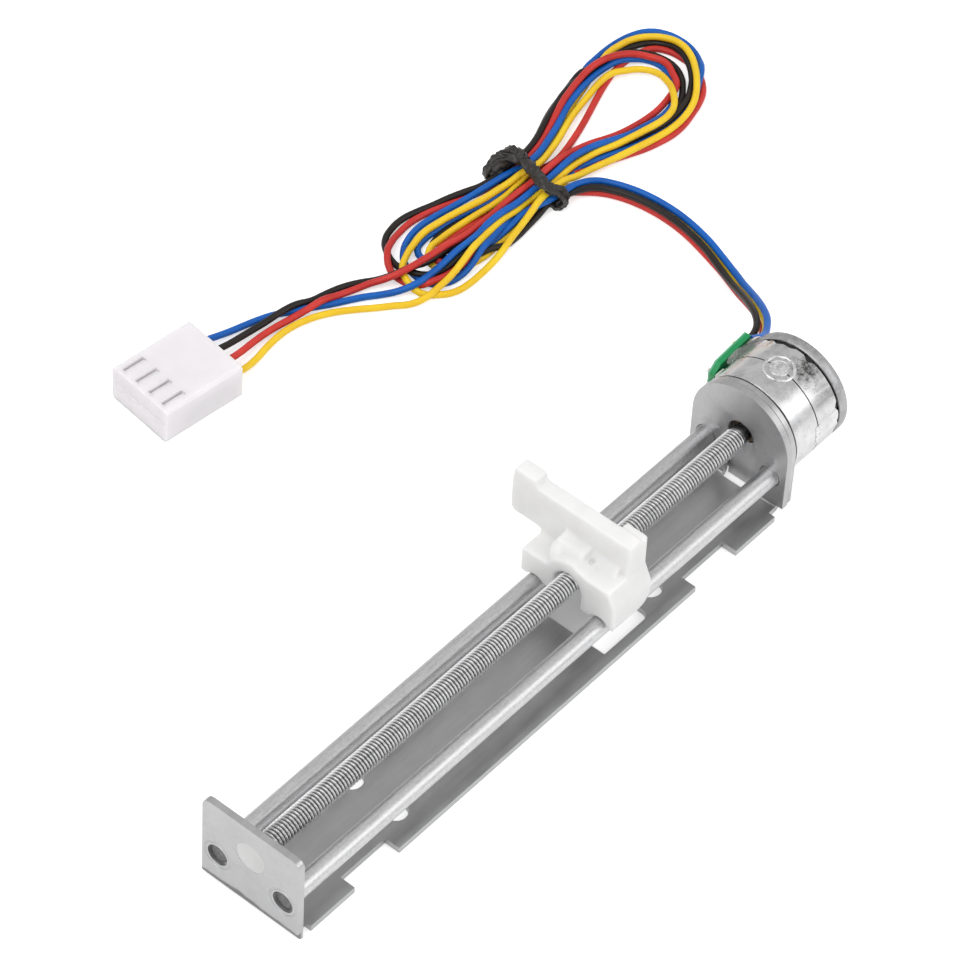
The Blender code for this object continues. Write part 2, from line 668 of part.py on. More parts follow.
def build_terminal_pin(name, station, side, material):
    """One pin from a bobbin's block through the board."""
    pin = arc(station, SCREW_HEIGHT + side * PIN_HALF_PITCH, PIN_RADIUS, 0, 330, 12)
    bm = bmesh.new()
    prism(bm, pin, "Y", MOTOR_RADIUS + TERMINAL_OUTSTAND - PIN_DEPTH, BOARD_OUTSIDE + PIN_TAIL)
    return finish(bm, name, material)


def build_carriage(material):
    """The moulded slider: nut on the screw, a saddle over each rod, and the drive arm."""
    outer = ROD_OFFSET + ROD_BORE_RADIUS + LEG_WALL
    leg_inner = ROD_OFFSET - ROD_BORE_RADIUS - LEG_WALL
    block_right = outer - SHOULDER_WIDTH
    bore = SCREW_RADIUS + RUNNING_GAP
    nut_top = SCREW_HEIGHT + bore + NUT_WALL
    step = ARM_TIP_TOP - ARM_TOP

    # The arm's plate runs down over the nut and both saddles
    plate = [
        (-outer, LEG_BOTTOM),
        (outer, LEG_BOTTOM),
        (outer, ARM_UNDERSIDE - step / 3),
        (outer + step / 3, ARM_UNDERSIDE),
        (ARM_REACH - step / 2, ARM_UNDERSIDE),
        (ARM_REACH, ARM_UNDERSIDE + step / 2),
        (ARM_REACH, ARM_TIP_TOP - 2 * step),
        (ARM_REACH - step / 4, ARM_TIP_TOP - step / 4),
        (ARM_REACH - step / 2, ARM_TIP_TOP),
        (ARM_REACH - ARM_TIP_LENGTH, ARM_TIP_TOP),
        (ARM_REACH - ARM_TIP_LENGTH - step / 4, ARM_TOP),
        (-block_right, ARM_TOP),
        (-block_right, LEG_TOP),
        (-outer, LEG_TOP - SHOULDER_DROP),
    ]
    bm = bmesh.new()
    prism(bm, plate, "X", ARM_FRONT, ARM_FRONT + ARM_THICKNESS)
    carriage = finish(bm, "carriage", material)

    # The block above the right rod is thicker than the arm
    block = [
        (-leg_inner, LEG_BOTTOM),
        (-leg_inner, ARM_TOP - step / 4),
        (-block_right + step / 4, ARM_TOP - step / 4),
        (-block_right, ARM_TOP - step / 2),
        (-block_right, LEG_TOP),
        (-outer, LEG_TOP - SHOULDER_DROP),
        (-outer, LEG_BOTTOM),
    ]
    bm = bmesh.new()
    prism(bm, block, "X", ARM_FRONT + SEAT_GAP, CARRIAGE_BACK)
    combine(carriage, finish(bm, "block"), "UNION")

    # In front of the arm the body is low, with a hump over the screw
    front = [
        (-outer, LEG_BOTTOM),
        (outer, LOBE_BOTTOM),
        (outer, LOBE_TOP - step / 4),
        (outer - step / 3, LOBE_TOP),
        (2 * bore, LOBE_TOP),
    ]
    front += arc(0, SCREW_HEIGHT, bore + NUT_WALL, 45, 100, 6)
    front += [(-leg_inner, LEG_TOP), (-block_right, LEG_TOP), (-outer, LEG_TOP - SHOULDER_DROP)]
    bm = bmesh.new()
    prism(bm, front, "X", CARRIAGE_FRONT, ARM_FRONT + ARM_THICKNESS / 2)
    combine(carriage, finish(bm, "front"), "UNION")
    bm = bmesh.new()
    hump_start = CARRIAGE_FRONT + SADDLE_LENGTH / 4
    hump = [
        (hump_start, SCREW_HEIGHT + bore),
        (hump_start, nut_top - NUT_HUMP_RISE / 2),
        (hump_start + NUT_HUMP_RISE, nut_top + NUT_HUMP_RISE / 2),
        (ARM_FRONT + ARM_THICKNESS / 2, nut_top + NUT_HUMP_RISE),
        (ARM_FRONT + ARM_THICKNESS / 2, SCREW_HEIGHT + bore),
    ]
    prism(bm, hump, "Y", -bore / 2, 2 * bore)
    combine(carriage, finish(bm, "hump"), "UNION")

    # Bores: the nut is whole under the arm and open below in front of it
    bm = bmesh.new()
    rod(bm, CARRIAGE_FRONT - bore, CARRIAGE_BACK + bore, bore, SCREW_HEIGHT, 28)
    combine(carriage, finish(bm, "cut"), "DIFFERENCE")
    bm = bmesh.new()
    arch = arc(0, ARCH_TOP - ARCH_HALF_WIDTH, ARCH_HALF_WIDTH, 0, 180, 13)
    arch += [(-ARCH_HALF_WIDTH, 0), (ARCH_HALF_WIDTH, 0)]
    prism(bm, arch, "X", CARRIAGE_FRONT - bore, ARM_FRONT - SEAT_GAP)
    combine(carriage, finish(bm, "cut"), "DIFFERENCE")
    bm = bmesh.new()
    for side in (-1, 1):
        saddle = arc(side * ROD_OFFSET, ROD_HEIGHT, ROD_BORE_RADIUS, 0, 180, 13)
        saddle += [(side * ROD_OFFSET - ROD_BORE_RADIUS, 0), (side * ROD_OFFSET + ROD_BORE_RADIUS, 0)]
        prism(bm, saddle, "X", CARRIAGE_FRONT - bore, CARRIAGE_BACK + bore)
    combine(carriage, finish(bm, "cut"), "DIFFERENCE")
    bm = bmesh.new()
    corner_x = CARRIAGE_BACK - LEG_CORNER_RADIUS
    corner_z = LEG_BOTTOM + LEG_CORNER_RADIUS
    corner = arc(corner_x, corner_z, LEG_CORNER_RADIUS, 0, -90, 7)
    corner += [(corner_x, 0), (CARRIAGE_BACK + bore, 0), (CARRIAGE_BACK + bore, corner_z)]
    prism(bm, corner, "Y", -outer - bore, -leg_inner + bore / 2)
    combine(carriage, finish(bm, "cut"), "DIFFERENCE")
    return carriage


def smooth_route(points, spacing):
    """Evenly spaced points on a smooth curve through hand-chosen ones."""
    given = np.array(points, float)
    padded = np.vstack([2 * given[0] - given[1], given, 2 * given[-1] - given[-2]])
    fine = []
    for index in range(len(given) - 1):
        before, start, end, after = padded[index : index + 4]
        for t in np.linspace(0, 1, 16, endpoint=False):
            fine.append(
                0.5
                * (
                    2 * start
                    + (end - before) * t
                    + (2 * before - 5 * start + 4 * end - after) * t**2
                    + (3 * start - before - 3 * end + after) * t**3
                )
            )
    fine.append(given[-1])
    fine = np.array(fine)
    travelled = np.concatenate([[0], np.cumsum(np.linalg.norm(np.diff(fine, axis=0), axis=1))])
    count = max(3, round(travelled[-1] / spacing) + 1)
    wanted = np.linspace(0, travelled[-1], count)
    return [tuple(np.interp(value, travelled, fine[:, axis]) for axis in range(3)) for value in wanted]


def build_wire(name, points, material):
    """One insulated wire along its route."""
    curve = bpy.data.curves.new(name, "CURVE")
    curve.dimensions = "3D"
    curve.bevel_depth = WIRE_RADIUS
    curve.bevel_resolution = 2
    curve.use_fill_caps = True
    route = smooth_route(points, POINT_SPACING)
    spline = curve.splines.new("POLY")
    spline.points.add(len(route) - 1)
    for point, place in zip(spline.points, route):
        point.co = (*place, 1.0)
    curve.materials.append(material)
    wire = bpy.data.objects.new(name, curve)
    bpy.context.scene.collection.objects.link(wire)
    return wire


# The lead's middle line from the motor's side down to the ground and to the tie, chosen by hand
LEAD_ROUTE = [
    (0.0635, 0.0112, 0.0089),
    (0.0661, 0.0143, 0.0070),
    (0.0687, 0.0176, 0.0048),
    (0.0710, 0.0207, 0.0030),
    (0.0727, 0.0237, 0.0020),
    (0.0742, 0.0270, 0.00155),
    (0.0752, 0.0303, 0.00145),
    (0.0759, 0.0341, 0.00145),
    (0.0760, 0.0376, 0.00145),
    (0.0756, 0.0411, 0.0015),
    (0.0746, 0.0438, 0.0017),
    (0.0727, 0.0465, 0.0020),
    (0.0703, 0.0482, 0.0023),
    (0.0689, 0.0486, 0.0025),
]

# Each wire: its side and level in the lead, and its own first points beside the board
LEAD_STARTS = {
    "blue": (-1, 1, [(0.0569, 0.0081, 0.0121), (0.0583, 0.0081, 0.0115), (0.0603, 0.0083, 0.0107),
                     (0.0620, 0.0090, 0.0102)]),
    "black": (1, 1, [(0.0560, 0.0096, 0.0099), (0.0586, 0.0101, 0.0091), (0.0613, 0.0105, 0.0090)]),
    "red": (1, -1, [(0.0560, 0.0096, 0.0086), (0.0586, 0.0098, 0.0076), (0.0612, 0.0103, 0.0071)]),
    "yellow": (-1, -1, [(0.0560, 0.0096, 0.0112), (0.0584, 0.0092, 0.0101), (0.0612, 0.0092, 0.0088)]),
}

# Each wire from the plug to the hank
TAIL_ROUTES = {
    "blue": [
        (0.0185, 0.0649, 0.0025),
        (0.0230, 0.0639, 0.0014),
        (0.0270, 0.0624, 0.0007),
        (0.0305, 0.0602, 0.00065),
        (0.0345, 0.0577, 0.00065),
        (0.0380, 0.0556, 0.00065),
        (0.0416, 0.0543, 0.00065),
    ],
    "black": [
        (0.0185, 0.0625, 0.0028),
        (0.0225, 0.0623, 0.0024),
        (0.0265, 0.0618, 0.0022),
        (0.0310, 0.06075, 0.0021),
        (0.0360, 0.0595, 0.0014),
        (0.0420, 0.0581, 0.0008),
    ],
    "red": [
        (0.0185, 0.0604, 0.0028),
        (0.0225, 0.0607, 0.0024),
        (0.0265, 0.0604, 0.0022),
        (0.0310, 0.0593, 0.0021),
        (0.0360, 0.0580, 0.0020),
        (0.0392, 0.0570, 0.0015),
        (0.0416, 0.0563, 0.0012),
    ],
    "yellow": [
        (0.0180, 0.0583, 0.0024),
        (0.0222, 0.0591, 0.0012),
        (0.0265, 0.0593, 0.00065),
        (0.0305, 0.0582, 0.00065),
        (0.0339, 0.0562, 0.00065),
        (0.0372, 0.0534, 0.00065),
        (0.0416, 0.0517, 0.00065),
    ],
}

# The hank's outline on the ground, two lobes with a waist
HANK_OUTLINE = [
    (0.0423, 0.0535),
    (0.0438, 0.0482),
    (0.0485, 0.0462),
    (0.0560, 0.0476),
    (0.0640, 0.0500),
    (0.0725, 0.0504),
    (0.0800, 0.0474),
    (0.0880, 0.0443),
    (0.0960, 0.0468),
    (0.1025, 0.0525),
    (0.1030, 0.0590),
    (0.0965, 0.0629),
    (0.0860, 0.0613),
    (0.0760, 0.0585),
    (0.0670, 0.0576),
    (0.0580, 0.0603),
    (0.0500, 0.0612),
    (0.0438, 0.0590),
]


def beside(route, side, level):
    """The same line moved sideways and up in its own frame."""
    middle = np.array(route, float)
    heading = np.gradient(middle, axis=0)
    heading /= np.linalg.norm(heading, axis=1)[:, None]
    left = np.cross((0, 0, 1), heading)
    left /= np.linalg.norm(left, axis=1)[:, None]
    above = np.cross(heading, left)
    return middle + (left * side + above * level) * WIRE_PITCH / 2


def plug_point(along, across, height):
    """A point given in the plug's own directions."""
    turned = Matrix.Rotation(PLUG_TURN, 3, "Z") @ Vector((along, across, 0))
    return (PLUG_MIDDLE[0] + turned.x, PLUG_MIDDLE[1] + turned.y, height)


def build_hank(material):
    """The tied bundle as one block, with a groove below for the tie."""
    closed = [(x, y, 0) for x, y in HANK_OUTLINE + HANK_OUTLINE[:1]]
    outline = [(x, y) for x, y, _ in smooth_route(closed, POINT_SPACING)[:-1]]
    bm = bmesh.new()
    prism(bm, outline, "Z", FLOOR_LIFT, HANK_HEIGHT)
    hank = finish(bm, "wire_hank", material)
    half = TIE_WIDTH / 2 + WIRE_GAP
    bm = bmesh.new()
    groove = box_outline(TIE_MIDDLE - half, TIE_MIDDLE + half, -HANK_HEIGHT, FLOOR_LIFT + TIE_THICKNESS + WIRE_GAP)
    prism(bm, groove, "Y", 0, 2 * TIE_KNOT_END)
    combine(hank, finish(bm, "cut"), "DIFFERENCE")
    return hank


def build_tie(material):
    """The tie goes right round the waist of the hank and ends in a knot."""
    waist = []
    for x, y, _ in smooth_route([(x, y, 0) for x, y in HANK_OUTLINE + HANK_OUTLINE[:1]], POINT_SPACING):
        if abs(x - TIE_MIDDLE) < TIE_WIDTH + POINT_SPACING:
            waist.append(y)
    inner_near = min(waist) - WIRE_GAP
    inner_far = max(waist) + WIRE_GAP
    low = FLOOR_LIFT + TIE_THICKNESS
    high = HANK_HEIGHT + WIRE_GAP
    start = TIE_MIDDLE - TIE_WIDTH / 2
    end = TIE_MIDDLE + TIE_WIDTH / 2
    corner = TIE_THICKNESS
    top = high + TIE_THICKNESS
    far = inner_far + TIE_THICKNESS
    outline = [
        (TIE_NEAR, FLOOR_LIFT),
        (far, FLOOR_LIFT),
        (far, top - corner),
        (far - corner, top),
        (TIE_NEAR + 2 * corner, top),
        (TIE_NEAR, high - corner),
    ]
    bm = bmesh.new()
    prism(bm, outline, "X", start, end)
    tie = finish(bm, "wire_tie", material)
    bm = bmesh.new()
    prism(bm, box_outline(inner_near, inner_far, low, high), "X", start - corner, end + corner)
    combine(tie, finish(bm, "cut"), "DIFFERENCE")
    bm = bmesh.new()
    knot = arc(TIE_MIDDLE, FLOOR_LIFT + TIE_KNOT_RADIUS * 1.5, TIE_KNOT_RADIUS, 0, 330, 12)
    prism(bm, knot, "Y", far - TIE_THICKNESS / 2, TIE_KNOT_END)
    combine(tie, finish(bm, "knot"), "UNION")
    return tie


def plug_ways():
    """Distances of the four ways across the plug, from the blue wire's side."""
    return [PLUG_PITCH * (1.5 - index) for index in range(4)]


def build_plug_housing(material):
    """Moulded plug: a cavity and a window for each way, and a hole for each wire."""
    half_length = PLUG_LENGTH / 2
    half_width = PLUG_WIDTH / 2
    low = FLOOR_LIFT
    high = FLOOR_LIFT + PLUG_HEIGHT
    c = PLUG_CHAMFER
    outline = [
        (-half_width + c, low),
        (half_width - c, low),
        (half_width, low + c),
        (half_width, high - c),
        (half_width - c, high),
        (-half_width + c, high),
        (-half_width, high - c),
        (-half_width, low + c),
    ]
    bm = bmesh.new()
    prism(bm, outline, "X", -half_length, half_length)
    housing = finish(bm, "plug_housing", material)
    middle = (low + high) / 2
    bm = bmesh.new()
    for across in plug_ways():
        cavity = box_outline(
            across - CAVITY_SIDE / 2, across + CAVITY_SIDE / 2, middle - CAVITY_SIDE / 2, middle + CAVITY_SIDE / 2
        )
        prism(bm, cavity, "X", -half_length - c, -half_length + CAVITY_LENGTH)
    combine(housing, finish(bm, "cut"), "DIFFERENCE")
    bm = bmesh.new()
    for across in plug_ways():
        entry = arc(across, middle, WIRE_RADIUS + SEAT_GAP, 0, 330, 12)
        prism(bm, entry, "X", 0, half_length + c)
        slot_start = -half_length + PLUG_SLOT_START
        slot = box_outline(
            slot_start, slot_start + PLUG_SLOT_LENGTH, across - PLUG_SLOT_WIDTH / 2, across + PLUG_SLOT_WIDTH / 2
        )
        prism(bm, slot, "Z", middle, high + c)
    combine(housing, finish(bm, "cut"), "DIFFERENCE")
    housing.data.transform(Matrix.Rotation(PLUG_TURN, 4, "Z"))
    housing.data.transform(Matrix.Translation((*PLUG_MIDDLE, 0)))
    return housing


def build_plug_contact(name, across, material):
    """The sheet metal contact in one cavity."""
    start = -PLUG_LENGTH / 2 + CONTACT_SETBACK
    end = -PLUG_LENGTH / 2 + CAVITY_LENGTH - CONTACT_SETBACK
    reach = CAVITY_SIDE / 2 - SEAT_GAP
    middle = FLOOR_LIFT + PLUG_HEIGHT / 2
    section = [
        (across - reach, middle - reach),
        (across + reach, middle - reach),
        (across + reach, middle + reach),
        (across + reach - CONTACT_SHEET, middle + reach),
        (across + reach - CONTACT_SHEET, middle - reach + CONTACT_SHEET),
        (across - reach, middle - reach + CONTACT_SHEET),
    ]
    bm = bmesh.new()
    prism(bm, section, "X", start, end)
    contact = finish(bm, name, material)
    contact.data.transform(Matrix.Rotation(PLUG_TURN, 4, "Z"))
    contact.data.transform(Matrix.Translation((*PLUG_MIDDLE, 0)))
    return contact


def hang_on(pieces, name, place):
    """Parent pieces to an empty on their joint's axis."""
    axis = bpy.data.objects.new(name, None)
    axis.location = place
    bpy.context.scene.collection.objects.link(axis)
    bpy.context.view_layer.update()
    for piece in pieces:
        piece.parent = axis
        piece.matrix_parent_inverse = axis.matrix_world.inverted()


for old in list(bpy.data.objects):
    bpy.data.objects.remove(old)

plated_steel = make_material("plated_steel", (0.52, 0.52, 0.52), 0.42, 1.0)
polished_steel = make_material("polished_steel", (0.72, 0.72, 0.73), 0.18, 1.0)
screw_steel = make_material("screw_steel", (0.60, 0.60, 0.60), 0.28, 1.0)
can_steel = make_material("can_steel", (0.66, 0.66, 0.66), 0.30, 1.0)
pole_steel = make_material("pole_steel", (0.45, 0.45, 0.46), 0.40, 1.0)
white_plastic = make_material("white_plastic", (0.88, 0.89, 0.90), 0.40, 0.0)
plug_plastic = make_material("plug_plastic", (0.86, 0.83, 0.86), 0.45, 0.0)
bobbin_plastic = make_material("bobbin_plastic", (0.09, 0.09, 0.10), 0.50, 0.0)
hub_plastic = make_material("hub_plastic", (0.75, 0.74, 0.70), 0.45, 0.0)
copper = make_material("copper", (0.72, 0.34, 0.18), 0.35, 1.0)
magnet_grey = make_material("magnet_grey", (0.10, 0.10, 0.11), 0.55, 0.3)
bush_brass = make_material("bush_brass", (0.70, 0.55, 0.30), 0.35, 1.0)
board_green = make_material("board_green", (0.02, 0.36, 0.14), 0.40, 0.0)
pin_metal = make_material("pin_metal", (0.70, 0.68, 0.62), 0.30, 1.0)
contact_metal = make_material("contact_metal", (0.66, 0.60, 0.42), 0.30, 1.0)
tie_black = make_material("tie_black", (0.03, 0.03, 0.03), 0.60, 0.0)
hank_mixed = make_material("hank_mixed", (0.45, 0.35, 0.20), 0.45, 0.0)
wire_colours = {
    "blue": make_material("wire_blue", (0.01, 0.12, 0.56), 0.40, 0.0),
    "black": make_material("wire_black", (0.02, 0.02, 0.02), 0.45, 0.0),
    "red": make_material("wire_red", (0.66, 0.06, 0.05), 0.40, 0.0),
    "yellow": make_material("wire_yellow", (0.90, 0.62, 0.03), 0.40, 0.0),
}

build_bracket(plated_steel)
build_guide_rod("guide_rod_left", 1, polished_steel)
build_guide_rod("guide_rod_right", -1, polished_steel)
build_end_bearing(white_plastic)
build_motor_flange(plated_steel)

claw_step = math.pi / CLAW_COUNT
front_near_wall = FRONT_CUP_START + CUP_WALL + SEAT_GAP
front_seam_side = FRONT_CUP_END - RING_SHEET - SEAT_GAP
rear_seam_side = REAR_CUP_START + RING_SHEET + SEAT_GAP
rear_near_wall = REAR_CUP_END - CUP_WALL - SEAT_GAP
build_stator_cup("stator_cup_front", FRONT_CUP_START, FRONT_CUP_END, 0, can_steel)
build_stator_cup("stator_cup_rear", REAR_CUP_END, REAR_CUP_START, claw_step / 2, can_steel)
build_stator_ring("stator_ring_front", FRONT_CUP_END, 1, FRONT_CUP_START + CUP_WALL, claw_step, pole_steel)
build_stator_ring("stator_ring_rear", REAR_CUP_START, -1, REAR_CUP_END - CUP_WALL, claw_step * 1.5, pole_steel)
build_bobbin("bobbin_front", front_near_wall, front_seam_side, 1, bobbin_plastic)
build_bobbin("bobbin_rear", rear_near_wall, rear_seam_side, -1, bobbin_plastic)
build_coil("coil_front", front_near_wall, front_seam_side, copper)
build_coil("coil_rear", rear_near_wall, rear_seam_side, copper)
build_motor_cap(can_steel)
build_front_bush(bush_brass)
build_rear_bush(bush_brass)
build_terminal_board(board_green)
for half, station in zip(("front", "rear"), terminal_stations()):
    build_terminal_pin("terminal_pin_" + half + "_upper", station, 1, pin_metal)
    build_terminal_pin("terminal_pin_" + half + "_lower", station, -1, pin_metal)

rotor = [build_lead_screw(screw_steel), build_rotor_magnet(magnet_grey), build_rotor_hub(hub_plastic)]
hang_on(rotor, "screw_axis", (0, 0, SCREW_HEIGHT))
hang_on([build_carriage(white_plastic)], "carriage_axis", (CARRIAGE_FRONT, 0, SCREW_HEIGHT))

for colour, (side, level, start) in LEAD_STARTS.items():
    route = start + [tuple(point) for point in beside(LEAD_ROUTE, side, level)]
    build_wire("wire_" + colour + "_lead", route, wire_colours[colour])
for (colour, route), across in zip(TAIL_ROUTES.items(), plug_ways()):
    first = plug_point(PLUG_LENGTH / 2 + WIRE_GAP, across, FLOOR_LIFT + PLUG_HEIGHT / 2)
    build_wire("wire_" + colour + "_tail", [first] + route, wire_colours[colour])
    build_plug_contact("plug_contact_" + colour, across, contact_metal)
build_hank(hank_mixed)
build_tie(tie_black)
build_plug_housing(plug_plastic)
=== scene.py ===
import math

import bpy
import numpy as np
from mathutils import Matrix, Vector, noise


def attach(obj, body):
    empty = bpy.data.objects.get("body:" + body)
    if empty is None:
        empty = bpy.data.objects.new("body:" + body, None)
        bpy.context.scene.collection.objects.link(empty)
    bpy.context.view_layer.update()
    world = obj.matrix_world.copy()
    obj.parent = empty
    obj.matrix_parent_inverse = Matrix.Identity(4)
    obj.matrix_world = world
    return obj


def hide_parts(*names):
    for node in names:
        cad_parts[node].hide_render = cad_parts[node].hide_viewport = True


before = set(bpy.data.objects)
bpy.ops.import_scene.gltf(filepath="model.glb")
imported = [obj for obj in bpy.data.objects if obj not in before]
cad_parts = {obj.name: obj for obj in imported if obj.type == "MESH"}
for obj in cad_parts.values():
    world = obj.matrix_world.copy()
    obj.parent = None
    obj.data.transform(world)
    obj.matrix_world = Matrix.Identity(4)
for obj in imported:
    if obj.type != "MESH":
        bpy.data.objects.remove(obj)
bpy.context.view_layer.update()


# Camera
# A long lens high over the front left corner, tipped a few degrees, so that the slide runs
# from the bottom left to the top right.
side_turn = math.radians(-51.98)
height_turn = math.radians(48.05)
camera_tip = math.radians(3.54)
camera_place = (-0.35261, -0.27017, 0.53179)
lens_length = 211.98
camera_back = Vector((
    math.sin(side_turn) * math.cos(height_turn),
    -math.cos(side_turn) * math.cos(height_turn),
    math.sin(height_turn),
))
level_right = Vector((0, 0, 1)).cross(camera_back).normalized()
level_up = camera_back.cross(level_right)
camera_right = math.cos(camera_tip) * level_right + math.sin(camera_tip) * level_up
camera_up = -math.sin(camera_tip) * level_right + math.cos(camera_tip) * level_up
lens = bpy.data.cameras.new("studio_camera")
lens.sensor_width = 36.0
lens.lens = lens_length
lens.clip_start = 0.01
lens.clip_end = 20.0
camera = bpy.data.objects.new("studio_camera", lens)
camera.matrix_world = Matrix((
    (camera_right.x, camera_up.x, camera_back.x, camera_place[0]),
    (camera_right.y, camera_up.y, camera_back.y, camera_place[1]),
    (camera_right.z, camera_up.z, camera_back.z, camera_place[2]),
    (0, 0, 0, 1),
))
bpy.context.scene.collection.objects.link(camera)
bpy.context.scene.camera = camera
bpy.context.scene.view_settings.view_transform = "Standard"


# Floor and light
# White sweep of card under a light tent. The floor and the tent look white to the lens and in
# reflections, and two soft lamps give the object its shape.
def start_material(name):
    """A new node material, with its shader."""
    material = bpy.data.materials.new(name)
    material.use_nodes = True
    return material, material.node_tree.nodes["Principled BSDF"]


def feed(owner, node, wiring):
    """Links a node's inputs to other nodes' outputs, or gives them a value."""
    for key, value in wiring.items():
        if isinstance(value, bpy.types.NodeSocket):
            owner.node_tree.links.new(value, node.inputs[key])
        else:
            node.inputs[key].default_value = value


def add_node(owner, kind, wiring=None, **settings):
    """A new node in a material or a world, with its settings and its inputs."""
    node = owner.node_tree.nodes.new("ShaderNode" + kind)
    for key, value in settings.items():
        setattr(node, key, value)
    feed(owner, node, wiring or {})
    return node


def maths(owner, operation, *values):
    """One sum on numbers and outputs."""
    return add_node(owner, "Math", dict(enumerate(values)), operation=operation).outputs[0]


def span(owner, source, start, end, low=0.0, high=1.0):
    """A value between two limits, taken over to two other limits."""
    limits = {"Value": source, "From Min": start, "From Max": end, "To Min": low, "To Max": high}
    return add_node(owner, "MapRange", limits).outputs["Result"]


def mixed(owner, share, one, other):
    """Two colours mixed by a share."""
    return add_node(owner, "Mix", {"Factor": share, 6: one, 7: other}, data_type="RGBA").outputs[2]


def two_tones(owner, source, start, dark, end, light):
    """A ramp from one colour to another."""
    ramp = add_node(owner, "ValToRGB", {"Fac": source})
    for element, position, colour in zip(ramp.color_ramp.elements, (start, end), (dark, light)):
        element.position = position
        element.color = (*colour, 1)
    return ramp.outputs["Color"]


floor_size = 6.0
floor_drop = 0.00002
floor_white = (0.86, 0.86, 0.86, 1.0)
# Grey of the shadow painted on the card under the carriage.
painted_shadow_grey = (0.66, 0.66, 0.66, 1.0)
floor_lift = 0.50
mirrored_lift = 0.6
# Box of the shadow painted on the card under the carriage: its middle, its reach, and where its soft edge
# starts and ends.
shade_middle = (0.0164, 0.0024, 0.0)
shade_reach = (0.0050, 0.0050, 1.0)
shade_inner = 0.94
shade_outer = 1.06
tent_low_colour = (0.62, 0.62, 0.63)
tent_strength = 0.74
lamp_aim = (0.03, 0.02, 0.0)
bpy.ops.mesh.primitive_plane_add(size=floor_size, location=(0, 0, 0))
floor = bpy.context.object
floor.name = "studio_floor"
floor.data.transform(Matrix.Translation((0, 0, -floor_drop)))
card, card_shader = start_material("studio_card")
seen_by = add_node(card, "LightPath").outputs
in_mirrors = maths(card, "MULTIPLY", seen_by["Is Glossy Ray"], mirrored_lift)
seen_or_mirrored = maths(card, "MAXIMUM", seen_by["Is Camera Ray"], in_mirrors)
seen_anyhow = maths(card, "MAXIMUM", seen_or_mirrored, seen_by["Is Transmission Ray"])
card_glow = maths(card, "MULTIPLY", seen_anyhow, floor_lift)
# Painted shadow: in a box under the carriage, where the card shows through the middle of the base's window,
# the card is painted grey and its glow is lowered.
card_place = add_node(card, "TexCoord").outputs["Object"]
shade_way = add_node(card, "VectorMath", {0: card_place, 1: shade_middle}, operation="SUBTRACT").outputs[0]
shade_far = add_node(card, "VectorMath", {0: shade_way, 1: shade_reach}, operation="DIVIDE").outputs[0]
shade_apart = add_node(card, "VectorMath", {0: shade_far}, operation="ABSOLUTE").outputs[0]
shade_sides = add_node(card, "SeparateXYZ", {"Vector": shade_apart}).outputs
shade_light = span(card, maths(card, "MAXIMUM", shade_sides["X"], shade_sides["Y"]), shade_inner, shade_outer)
feed(card, card_shader, {
    "Base Color": mixed(card, shade_light, painted_shadow_grey, floor_white),
    "Roughness": 0.9,
    "Specular IOR Level": 0.1,
    "Emission Color": (1, 1, 1, 1),
    "Emission Strength": maths(card, "MULTIPLY", card_glow, shade_light),
})
floor.data.materials.append(card)

tent = bpy.data.worlds.new("light_tent")
bpy.context.scene.world = tent
tent.use_nodes = True
tent_way = add_node(tent, "TexCoord").outputs["Generated"]
tent_height = add_node(tent, "SeparateXYZ", {"Vector": tent_way}).outputs["Z"]
tent_tone = two_tones(tent, tent_height, 0.05, tent_low_colour, 0.45, (1, 1, 1))
tent_light = tent.node_tree.nodes["Background"]
feed(tent, tent_light, {"Color": tent_tone, "Strength": tent_strength})
tent_white = add_node(tent, "Background", {"Color": (1, 1, 1, 1), "Strength": 1.0})
tent_mix = add_node(tent, "MixShader", {
    "Fac": add_node(tent, "LightPath").outputs["Is Camera Ray"],
    1: tent_light.outputs["Background"],
    2: tent_white.outputs["Background"],
})
feed(tent, tent.node_tree.nodes["World Output"], {"Surface": tent_mix.outputs["Shader"]})


def soft_lamp(name, place, aim, width, length, power):
    """A rectangular soft box that points at a spot."""
    light = bpy.data.lights.new(name, "AREA")
    light.shape = "RECTANGLE"
    light.size = width
    light.size_y = length
    light.energy = power
    lamp = bpy.data.objects.new(name, light)
    lamp.location = place
    lamp.rotation_mode = "QUATERNION"
    lamp.rotation_quaternion = (Vector(aim) - Vector(place)).to_track_quat("-Z", "Y")
    bpy.context.scene.collection.objects.link(lamp)
    return lamp


soft_lamp("key_lamp", (-0.40, 0.10, 0.75), lamp_aim, 0.6, 0.6, 3.0)
soft_lamp("side_lamp", (0.30, -0.60, 0.45), lamp_aim, 0.5, 0.5, 1.5)


# Plug
# Four-way crimp housing, moulded in off-white nylon with softly rounded edges. Each way has a
# window in its top near the front, where the sprung metal contact shows.
plug_middle = Vector((0.0085, 0.0620, 0.00285))
plug_turn = math.radians(-7.0)
plug_pitch = 0.00254
plug_edge = 0.00038
plug_ways = {"blue": 1.5, "black": 0.5, "red": -0.5, "yellow": -1.5}
window_fillings = (
    ((0.0033, 0.00050, 0.0022), (-0.00395, -0.00022, 0.00440)),
    ((0.0030, 0.00170, 0.00170), (-0.00474, 0.0, 0.00285)),
)
ledge_size = (0.0003, 0.0100, 0.00022)
ledge_place = (-0.00635, 0, 0.00325)


def hold(piece):
    """Makes one piece the only selected and active one."""
    bpy.ops.object.select_all(action="DESELECT")
    piece.select_set(True)
    bpy.context.view_layer.objects.active = piece


def whole_copy(node, name, flatten=True):
    """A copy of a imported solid, with its loose triangles merged and its flat faces whole."""
    piece = bpy.data.objects.new(name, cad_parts[node].data.copy())
    bpy.context.scene.collection.objects.link(piece)
    hold(piece)
    bpy.ops.object.mode_set(mode="EDIT")
    bpy.ops.mesh.select_all(action="SELECT")
    bpy.ops.mesh.remove_doubles(threshold=0.000002)
    if flatten:
        bpy.ops.mesh.dissolve_limited(angle_limit=math.radians(0.5))
    bpy.ops.object.mode_set(mode="OBJECT")
    return piece


